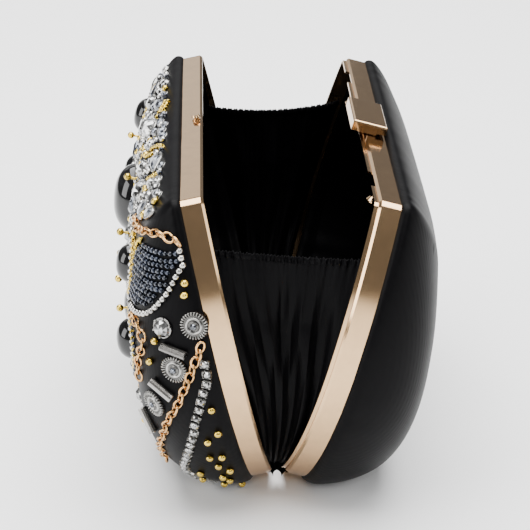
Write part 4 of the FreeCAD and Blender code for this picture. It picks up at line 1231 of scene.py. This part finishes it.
class EVENINGBAG_OT_cabochons(Operator):
    """Polished black oval stones in thin silver bezels"""
    bl_idname = "evening_bag.cabochons"
    bl_label = "Oval stones"

    def execute(self, context):
        rng = np.random.default_rng(51)
        turn = np.linspace(0, math.pi / 2, 15)
        crown = np.stack([np.cos(turn) ** 0.8, np.sin(turn)], -1)[:-1]
        dome = lathe(np.concatenate([[[0.0, -0.25]], [[1.0, -0.25]], crown, [[0.0, 1.0]]]), 44)
        band = torus(1.0, 0.075, 44, 8)
        stones, rims = [], []
        for x, h, tall, wide, rise in CABOCHONS:
            spot = np.array([[x, h]]) * MM
            size = np.array([wide, tall, rise]) * MM
            stones.append(strewn(dome, spot, 0.0, -0.2, rng, 0.0, size))
            rims.append(strewn(band, spot, 0.0, -0.25, rng, 0.0, size * np.array([1.04, 1.03, 1.3])))
        build("black_oval_stones", stones, "jet", ("oval_cabochons",))
        build("oval_bezels", rims, "silver", ())
        return {"FINISHED"}


class EVENINGBAG_OT_cut_stones(Operator):
    """Round, pointed and drop-shaped cut stones with their silver cups and rims"""
    bl_idname = "evening_bag.cut_stones"
    bl_label = "Cut stones"

    def execute(self, context):
        rng = np.random.default_rng(52)
        parts = layout()["found"]
        crown = facet_part(1.0, 0.85, 10)
        small = facet_part(1.0, 0.9, 7)
        cup = lathe([[0.0, 0.0], [0.95, 0.0], [1.12, 0.22], [1.12, 0.36], [1.0, 0.42], [0.9, 0.3],
                     [0.0, 0.3]], 18)
        prong = lathe([[0.0, 0.0], [0.13, 0.0], [0.13, 0.45], [0.08, 0.6], [0.0, 0.62]], 6)
        prongs = []
        for k in range(6):
            a = k * math.pi / 3
            move = np.array([math.cos(a), math.sin(a), 0.0]) * 1.02
            prongs.append((prong[0] + move, prong[1], prong[2]))
        setting = join(cup, *prongs)
        clear, cups = [], []
        for x, h, radius in ROUND_STONES:
            spot = np.array([[x, h]]) * MM
            turn = rng.uniform(0, math.pi)
            clear.append(strewn(crown, spot, turn, -0.25, rng, 0.0, radius * MM))
            cups.append(strewn(setting, spot, turn, 0.1, rng, 0.0, radius * MM))
        spots = parts["small_stone"]
        sizes = rng.uniform(1.55, 1.95, (len(spots), 1)) * MM
        turns = rng.uniform(0, math.pi, len(spots))
        clear.append(strewn(small, spots[::2], turns[::2], -0.3, rng, 0.12, sizes[::2]))
        dark = strewn(small, spots[1::2], turns[1::2], -0.3, rng, 0.12, sizes[1::2])
        cups.append(strewn(cup, spots, turns, 0.0, rng, 0.0, sizes))
        build("round_cut_stones", [faceted(clear, rng)], "clear", ("round_stones",), False)
        build("dark_cut_stones", [faceted([dark], rng)], "smoke", (), False)
        build("round_stone_cups", cups, "setting", ())
        self.navettes(rng)
        return {"FINISHED"}

    @staticmethod
    def navettes(rng):
        """Pointed ovals: stacked outlines that shrink upwards; silver walls round them."""
        smoke, rims = [], []
        for x, h, turn, long, wide, kind in NAVETTES:
            sides = np.arange(14) * 2 * math.pi / 14
            edge = pointed(sides, long / 2, wide / 2, kind == "drop")
            rise = 2.2 if kind == "rim" else 2.7
            half = pointed(sides + math.pi / 14, long / 2, wide / 2, kind == "drop")
            stone = ringed([edge, edge, half * 0.8, edge * 0.45], [0.0, rise * 0.35, rise * 0.72, rise])
            spot = np.array([[x, h]]) * MM
            angle_in = math.radians(turn)
            smoke.append(strewn((stone[0] * MM, stone[1], stone[2]), spot, angle_in, -0.2, rng))
            fine = np.arange(40) * 2 * math.pi / 40
            rim = [pointed(fine, long / 2 * k, wide / 2 * k, kind == "drop")
                   for k in (1.0, 1.12, 1.14, 1.08, 1.0)]
            tall = 0.75 if kind == "rim" else 0.5
            wall = ringed(rim, [0.0, 0.1, rise * tall, rise * tall + 0.25, rise * tall])
            rims.append(strewn((wall[0] * MM, wall[1], wall[2]), spot, angle_in, 0.1, rng))
        build("pointed_stones", [faceted(smoke, rng)], "smoke", ("navette_stones",), False)
        build("pointed_rims", rims, "setting", ())


class EVENINGBAG_OT_fluted(Operator):
    """Fluted round silver settings with a ball in the middle, with painted shade in the flutes"""
    bl_idname = "evening_bag.fluted"
    bl_label = "Fluted settings"

    def execute(self, context):
        rng = np.random.default_rng(53)
        radius = beads().setting / 2
        # Radius and height of the pressed profile, from the middle outwards; the flutes ride on the last part
        profile = np.array([[0.0, 1.95], [0.10, 1.9], [0.17, 1.6], [0.2, 1.05], [0.26, 0.75], [0.36, 0.7],
                            [0.42, 0.95], [0.47, 1.3], [0.53, 1.35], [0.58, 1.05], [0.62, 0.72], [0.68, 0.8],
                            [0.74, 1.15], [0.82, 1.45], [0.9, 1.4], [0.97, 1.0], [1.0, 0.5], [0.98, 0.0],
                            [0.0, 0.0]])
        flutes, columns = 28, 28 * 7
        turn = np.linspace(0, 2 * math.pi, columns, endpoint=False)
        rings = profile[1:-1]
        wave = 0.5 + 0.5 * np.cos(flutes * turn)
        depth = np.clip((rings[:, 0] - 0.7) / 0.06, 0, 1) * np.clip((1.02 - rings[:, 0]) / 0.02, 0, 1)
        depth[-1] = 0.0
        high = rings[:, 1:2] - depth[:, None] * (1 - wave[None, :]) * 0.8
        # Painted shade: the tone is lighter on the raised parts of the pressed profile and darker down in the
        # flutes and hollows.
        shade = np.clip((high - 0.55) / 0.85, 0.0, 1.0) * (1 - 0.7 * depth[:, None] * (1 - wave[None, :]))
        wide = rings[:, 0:1] * radius / MM * (1 - 0.02 * (1 - wave[None, :]) * depth[:, None])
        points = np.stack([wide * np.cos(turn), wide * np.sin(turn), high], -1).reshape(-1, 3)
        quads = grid_quads(len(rings), columns, True)[:, ::-1]
        count = len(points)
        points = np.concatenate([points, [[0, 0, profile[0, 1]], [0, 0, 0]]]) * MM
        i = np.arange(columns)
        j = (i + 1) % columns
        end = (len(rings) - 1) * columns
        tris = np.concatenate([np.stack([i, j, np.full(columns, count)], -1),
                               np.stack([end + j, end + i, np.full(columns, count + 1)], -1)])
        spots = np.array(FLUTED, float) * MM
        discs = strewn((points, quads, tris), spots, rng.uniform(0, 1, len(spots)), -0.1, rng)
        # The painted shade goes in as the tone; the top middle point is light and the bottom middle point dark.
        shade = np.tile(np.concatenate([shade.ravel(), [1.0, 0.0]]), len(spots))
        build("fluted_discs", [discs[:3] + (shade,)], "fluted", ("fluted_settings",))
        stone = strewn(facet_part(1.15 * MM, 0.9 * MM, 8), spots, 0.3, -1.6, rng)
        build("setting_centres", [faceted([stone], rng)], "smoke", (), False)
        return {"FINISHED"}


class EVENINGBAG_OT_glass(Operator):
    """Bugle beads and the fields of dark blue seed beads"""
    bl_idname = "evening_bag.glass"
    bl_label = "Glass beads"

    def execute(self, context):
        rng = np.random.default_rng(54)
        b = beads()
        spots = np.array(BUGLES, float)
        outer, inner, half = b.bugle_wide / 2, b.bugle_wide * 0.24, b.bugle / 2
        tube = np.array([[inner, half], [outer * 0.93, half], [outer, half * 0.96], [outer, -half * 0.96],
                         [outer * 0.93, -half], [inner, -half]])
        u = np.linspace(0, 2 * math.pi, 12, endpoint=False)[:, None]
        points = np.stack([tube[:, 0] * np.cos(u), tube[:, 1] + 0 * u, tube[:, 0] * np.sin(u)], -1)
        points = points.reshape(-1, 3)
        quads = grid_quads(13, 6, True) % 72
        part = (points, quads[:, ::-1], np.zeros((0, 3), int))
        rods = strewn(part, spots[:, :2] * MM, np.radians(spots[:, 2]), -outer / MM, rng, 0.03)
        build("bugle_rods", [rods], "bugle", ("bugle_beads",), False)
        found = layout()
        size = rng.uniform(0.86, 1.12, (len(found["navy"]), 1))
        fields = strewn(donut_part(b.seed, b.seed_long), found["navy"], found["navy_turns"],
                        -b.seed / 2 / MM, rng, 0.14, size)
        build("seed_beads", [fields], "navy", ("seed_bead_fields",))
        return {"FINISHED"}


class EVENINGBAG_OT_metal_beads(Operator):
    """Gold and silver beads: scattered, in rows and rings, on pins and along the underside"""
    bl_idname = "evening_bag.metal_beads"
    bl_label = "Metal beads"

    def execute(self, context):
        rng = np.random.default_rng(55)
        b = beads()
        found = layout()
        ball = ball_part(b.ball)
        gold = [strewn(ball, found["gold"], rng.uniform(0, 3.1, len(found["gold"])), -b.ball * 0.44 / MM,
                       rng, 0.15)]
        seed = donut_part(b.seed, b.seed_long * 1.1, 10)
        gold.append(strewn(seed, found["small_gold"], rng.uniform(0, 3.1, len(found["small_gold"])),
                           -b.seed / 2 / MM, rng, 0.12))
        stem = lathe([[0.0, 0.0], [0.5, 0.0], [0.5, 1.0], [0.0, 1.0]], 8)
        for x, h, rise in PINNED:
            spot = np.array([[x, h]]) * MM
            gold.append(strewn(ball, spot, 0.0, -rise - 0.6, rng))
            gold.append(strewn(stem, spot, 0.0, 0.1, rng, 0.0, np.array([0.9, 0.9, rise]) * MM))
        build("gold_balls", gold, "bead_gold", ("gold_beads",))
        s = shape()
        x = np.linspace(-40.0, 40.0, FEET) * MM
        share = (1.0 - ((17.0 * MM - s.bulge_depth) / (s.dome - s.bulge_depth)) ** s.depth_power) ** (
            1.0 / s.side_power)
        low = s.centre - share * (s.centre + s.bulge)
        feet = strewn(ball, np.stack([x, np.full(FEET, low)], -1), 0.0, -b.ball * 0.44 / MM, rng)
        build("gold_feet", [feet], "bead_gold", ("gold_foot_beads",))
        silver = strewn(ball_part(b.silver_ball, 0.3), found["silver"],
                        rng.uniform(0, 3.1, len(found["silver"])), -b.silver_ball * 0.44 / MM, rng, 0.15)
        build("silver_balls", [silver], "silver", ("silver_beads",))
        return {"FINISHED"}


class EVENINGBAG_OT_chains(Operator):
    """Rose-gold curb chains and cup chains with cut stones"""
    bl_idname = "evening_bag.chains"
    bl_label = "Chains"

    def execute(self, context):
        rng = np.random.default_rng(56)
        b = beads()
        u = np.linspace(0, 2 * math.pi, 16, endpoint=False)
        v = np.linspace(0, 2 * math.pi, 7)[:-1]
        wire = 0.44 * MM
        long, wide = b.link / 2 - wire, b.link * 0.36 - wire
        centre = np.stack([wide * np.sin(u), long * np.cos(u), 0 * u], -1)
        out = np.stack([np.sin(u) / wide, np.cos(u) / long, 0 * u], -1)
        out /= np.linalg.norm(out, axis=1, keepdims=True)
        ring = centre[:, None] + wire * (np.cos(v)[None, :, None] * out[:, None] + np.sin(v)[None, :, None]
                                         * np.array([0.0, 0.0, 1.0]))
        quads = grid_quads(17, 6, True) % 96
        link = (ring.reshape(-1, 3), quads, np.zeros((0, 3), int))
        links = []
        for row in CURB_CHAINS:
            spots, turn = smooth_path(row, b.link_pitch)
            place, frames = seats(spots[:, 0], spots[:, 1], -turn, -1.25 * MM)
            roll = np.where(np.arange(len(spots)) % 2 == 0, 0.68, -0.68) + rng.normal(0, 0.08, len(spots))
            c, n = np.cos(roll)[:, None], np.sin(roll)[:, None]
            across = frames[..., 0] * c + frames[..., 2] * n
            normal = frames[..., 2] * c - frames[..., 0] * n
            frames = np.stack([across, frames[..., 1], normal], -1)
            p, q, t = copies(link, place, frames)
            links.append((p, q, t, tones(len(spots), len(link[0]), rng)))
        build("curb_links", links, "chain", ("curb_chains",))
        half = b.cup / 2
        box = ringed([SQUARE * k * half / MM for k in (0.9, 1.0, 1.0, 0.86)], [0.0, 0.3, 1.35, 1.2])
        stone = facet_part(half * 0.88, 1.0 * MM, 8)
        found = layout()
        prong = lathe([[0.0, 0.0], [0.34, 0.0], [0.3, 0.6], [0.0, 0.75]], 5)
        corner = half / MM * 0.74
        tips = [(prong[0] + np.array([sx * corner, sy * corner, 1.1]), prong[1], prong[2])
                for sx in (-1, 1) for sy in (-1, 1)]
        cup = join(box, *tips)
        cups = strewn((cup[0] * MM, cup[1], cup[2]), found["cups"], -found["cup_turns"], 0.15, rng, 0.05)
        stones = strewn(stone, found["cups"], -found["cup_turns"], -1.0, rng, 0.05)
        build("chain_cups", [cups], "setting", ("cup_chains",), False)
        build("chain_stones", [faceted([stones], rng)], "clear", (), False)
        return {"FINISHED"}


SQUARE = np.array([[1.0, -0.7], [1.0, 0.7], [0.7, 1.0], [-0.7, 1.0], [-1.0, 0.7], [-1.0, -0.7], [-0.7, -1.0],
                   [0.7, -1.0]])


class EVENINGBAG_OT_hardware(Operator):
    """Finishes of the metal and board parts that come from the drawing"""
    bl_idname = "evening_bag.hardware"
    bl_label = "Hardware finishes"

    def execute(self, context):
        gold = ("back_frame", "front_frame", "back_frame_tongue", "clasp_base", "clasp_lever", "catch_stud",
                "strap_post_left", "strap_post_right")
        steel = ("back_hinge_leaf", "front_hinge_leaf", "back_hinge_rivets", "front_hinge_rivets",
                 "hinge_pin", "clasp_pin", "clasp_spring")
        cloth = ("back_shell", "front_shell")
        for key, names in (("gold", gold), ("steel", steel), ("lining", cloth)):
            for name in names:
                node = frame["nodes"][name]
                node.data.materials.clear()
                node.data.materials.append(finish_for(key))
        return {"FINISHED"}


# ---------------------------------------------------------------- stage

def soft_light(name, place, aim, size, power, tint=(1.0, 1.0, 1.0)):
    """Rectangular soft light that looks at a point."""
    lamp = bpy.data.lights.new(name, "AREA")
    lamp.shape = "RECTANGLE"
    lamp.size, lamp.size_y = size
    lamp.energy = power
    lamp.color = tint
    holder = bpy.data.objects.new(name, lamp)
    bpy.context.collection.objects.link(holder)
    direction = Vector(aim) - Vector(place)
    holder.matrix_world = Matrix.Translation(place) @ direction.to_track_quat("-Z", "Y").to_matrix().to_4x4()
    return holder


CAMERA_TARGET = (0.0, -0.0012, 0.0618)
CAMERA_ELEVATION = math.radians(24.07)
CAMERA_AZIMUTH = -0.032
CAMERA_DISTANCE = 0.70884
CAMERA_LENS = 1895.1 / 530.0 * 36.0
CAMERA_ROLL = 0.0


class EVENINGBAG_OT_stage(Operator):
    """Pale floor, soft lights and the camera at the bag's near end"""
    bl_idname = "evening_bag.stage"
    bl_label = "Stage"

    def execute(self, context):
        floor = make_mesh("floor", np.array([[-3, -3, 0], [3, -3, 0], [3, 3, 0], [-3, 3, 0]], float),
                          [[0, 1, 2, 3]], None, "floor", None, None, False)
        lights = [
            soft_light("overhead", (-0.25, 0.0, 1.4), (-0.1, 0, 0.05), (1.6, 1.8), 84.0),
            soft_light("left", (0.55, -1.3, 0.6), (0, 0, 0.06), (0.8, 1.0), 18.0),
            soft_light("right", (0.25, 1.3, 0.65), (0, 0, 0.06), (0.7, 1.0), 6.0),
            soft_light("far", (-1.5, -0.3, 0.75), (0, 0, 0.1), (1.5, 0.6), 2.6),
            soft_light("near", (1.4, 0.15, 1.0), (0, 0, 0.05), (0.5, 0.4), 6.0),
        ]
        world = bpy.data.worlds.new("studio")
        world.use_nodes = True
        sky = world.node_tree.nodes["Background"]
        sky.inputs["Color"].default_value = (1.0, 1.0, 1.0, 1.0)
        sky.inputs["Strength"].default_value = 0.24
        context.scene.world = world
        data = bpy.data.cameras.new("camera")
        data.lens = CAMERA_LENS
        data.sensor_width = 36.0
        camera = bpy.data.objects.new("camera", data)
        context.collection.objects.link(camera)
        target = Vector(CAMERA_TARGET)
        flat = math.cos(CAMERA_ELEVATION)
        away = Vector((flat * math.cos(CAMERA_AZIMUTH), flat * math.sin(CAMERA_AZIMUTH),
                       math.sin(CAMERA_ELEVATION)))
        look = (-away).to_track_quat("-Z", "Y").to_matrix().to_4x4() @ Matrix.Rotation(CAMERA_ROLL, 4, "Z")
        camera.matrix_world = Matrix.Translation(target + away * CAMERA_DISTANCE) @ look
        context.scene.camera = camera
        return {"FINISHED"}


# ---------------------------------------------------------------- add-on

OPERATORS = (EVENINGBAG_OT_covers, EVENINGBAG_OT_linings, EVENINGBAG_OT_gussets, EVENINGBAG_OT_cabochons,
             EVENINGBAG_OT_cut_stones, EVENINGBAG_OT_fluted, EVENINGBAG_OT_glass, EVENINGBAG_OT_metal_beads,
             EVENINGBAG_OT_chains, EVENINGBAG_OT_hardware, EVENINGBAG_OT_stage)


class EVENINGBAG_PT_panel(Panel):
    """Operators and settings of the bag"""
    bl_label = "Evening bag"
    bl_idname = "EVENINGBAG_PT_panel"
    bl_space_type = "VIEW_3D"
    bl_region_type = "UI"
    bl_category = "Evening bag"

    def draw(self, context):
        for operator in OPERATORS:
            self.layout.operator(operator.bl_idname)
        settings = context.scene.evening_bag
        for group in (settings.shape, settings.colours, settings.beads):
            box = self.layout.box()
            for name in group.__annotations__:
                box.prop(group, name)


CLASSES = (BagShape, BagColours, BeadSizes, BagSettings, *OPERATORS, EVENINGBAG_PT_panel)


def register():
    """Register the classes and attach the settings to the scene."""
    for cls in CLASSES:
        bpy.utils.register_class(cls)
    bpy.types.Scene.evening_bag = PointerProperty(type=BagSettings)


def unregister():
    """Undo register."""
    del bpy.types.Scene.evening_bag
    for cls in reversed(CLASSES):
        bpy.utils.unregister_class(cls)


def main():
    """Build every piece in order."""
    register()
    for operator in OPERATORS:
        group, name = operator.bl_idname.split(".")
        getattr(getattr(bpy.ops, group), name)()
    bpy.context.view_layer.update()


if __name__ == "__main__":
    main()
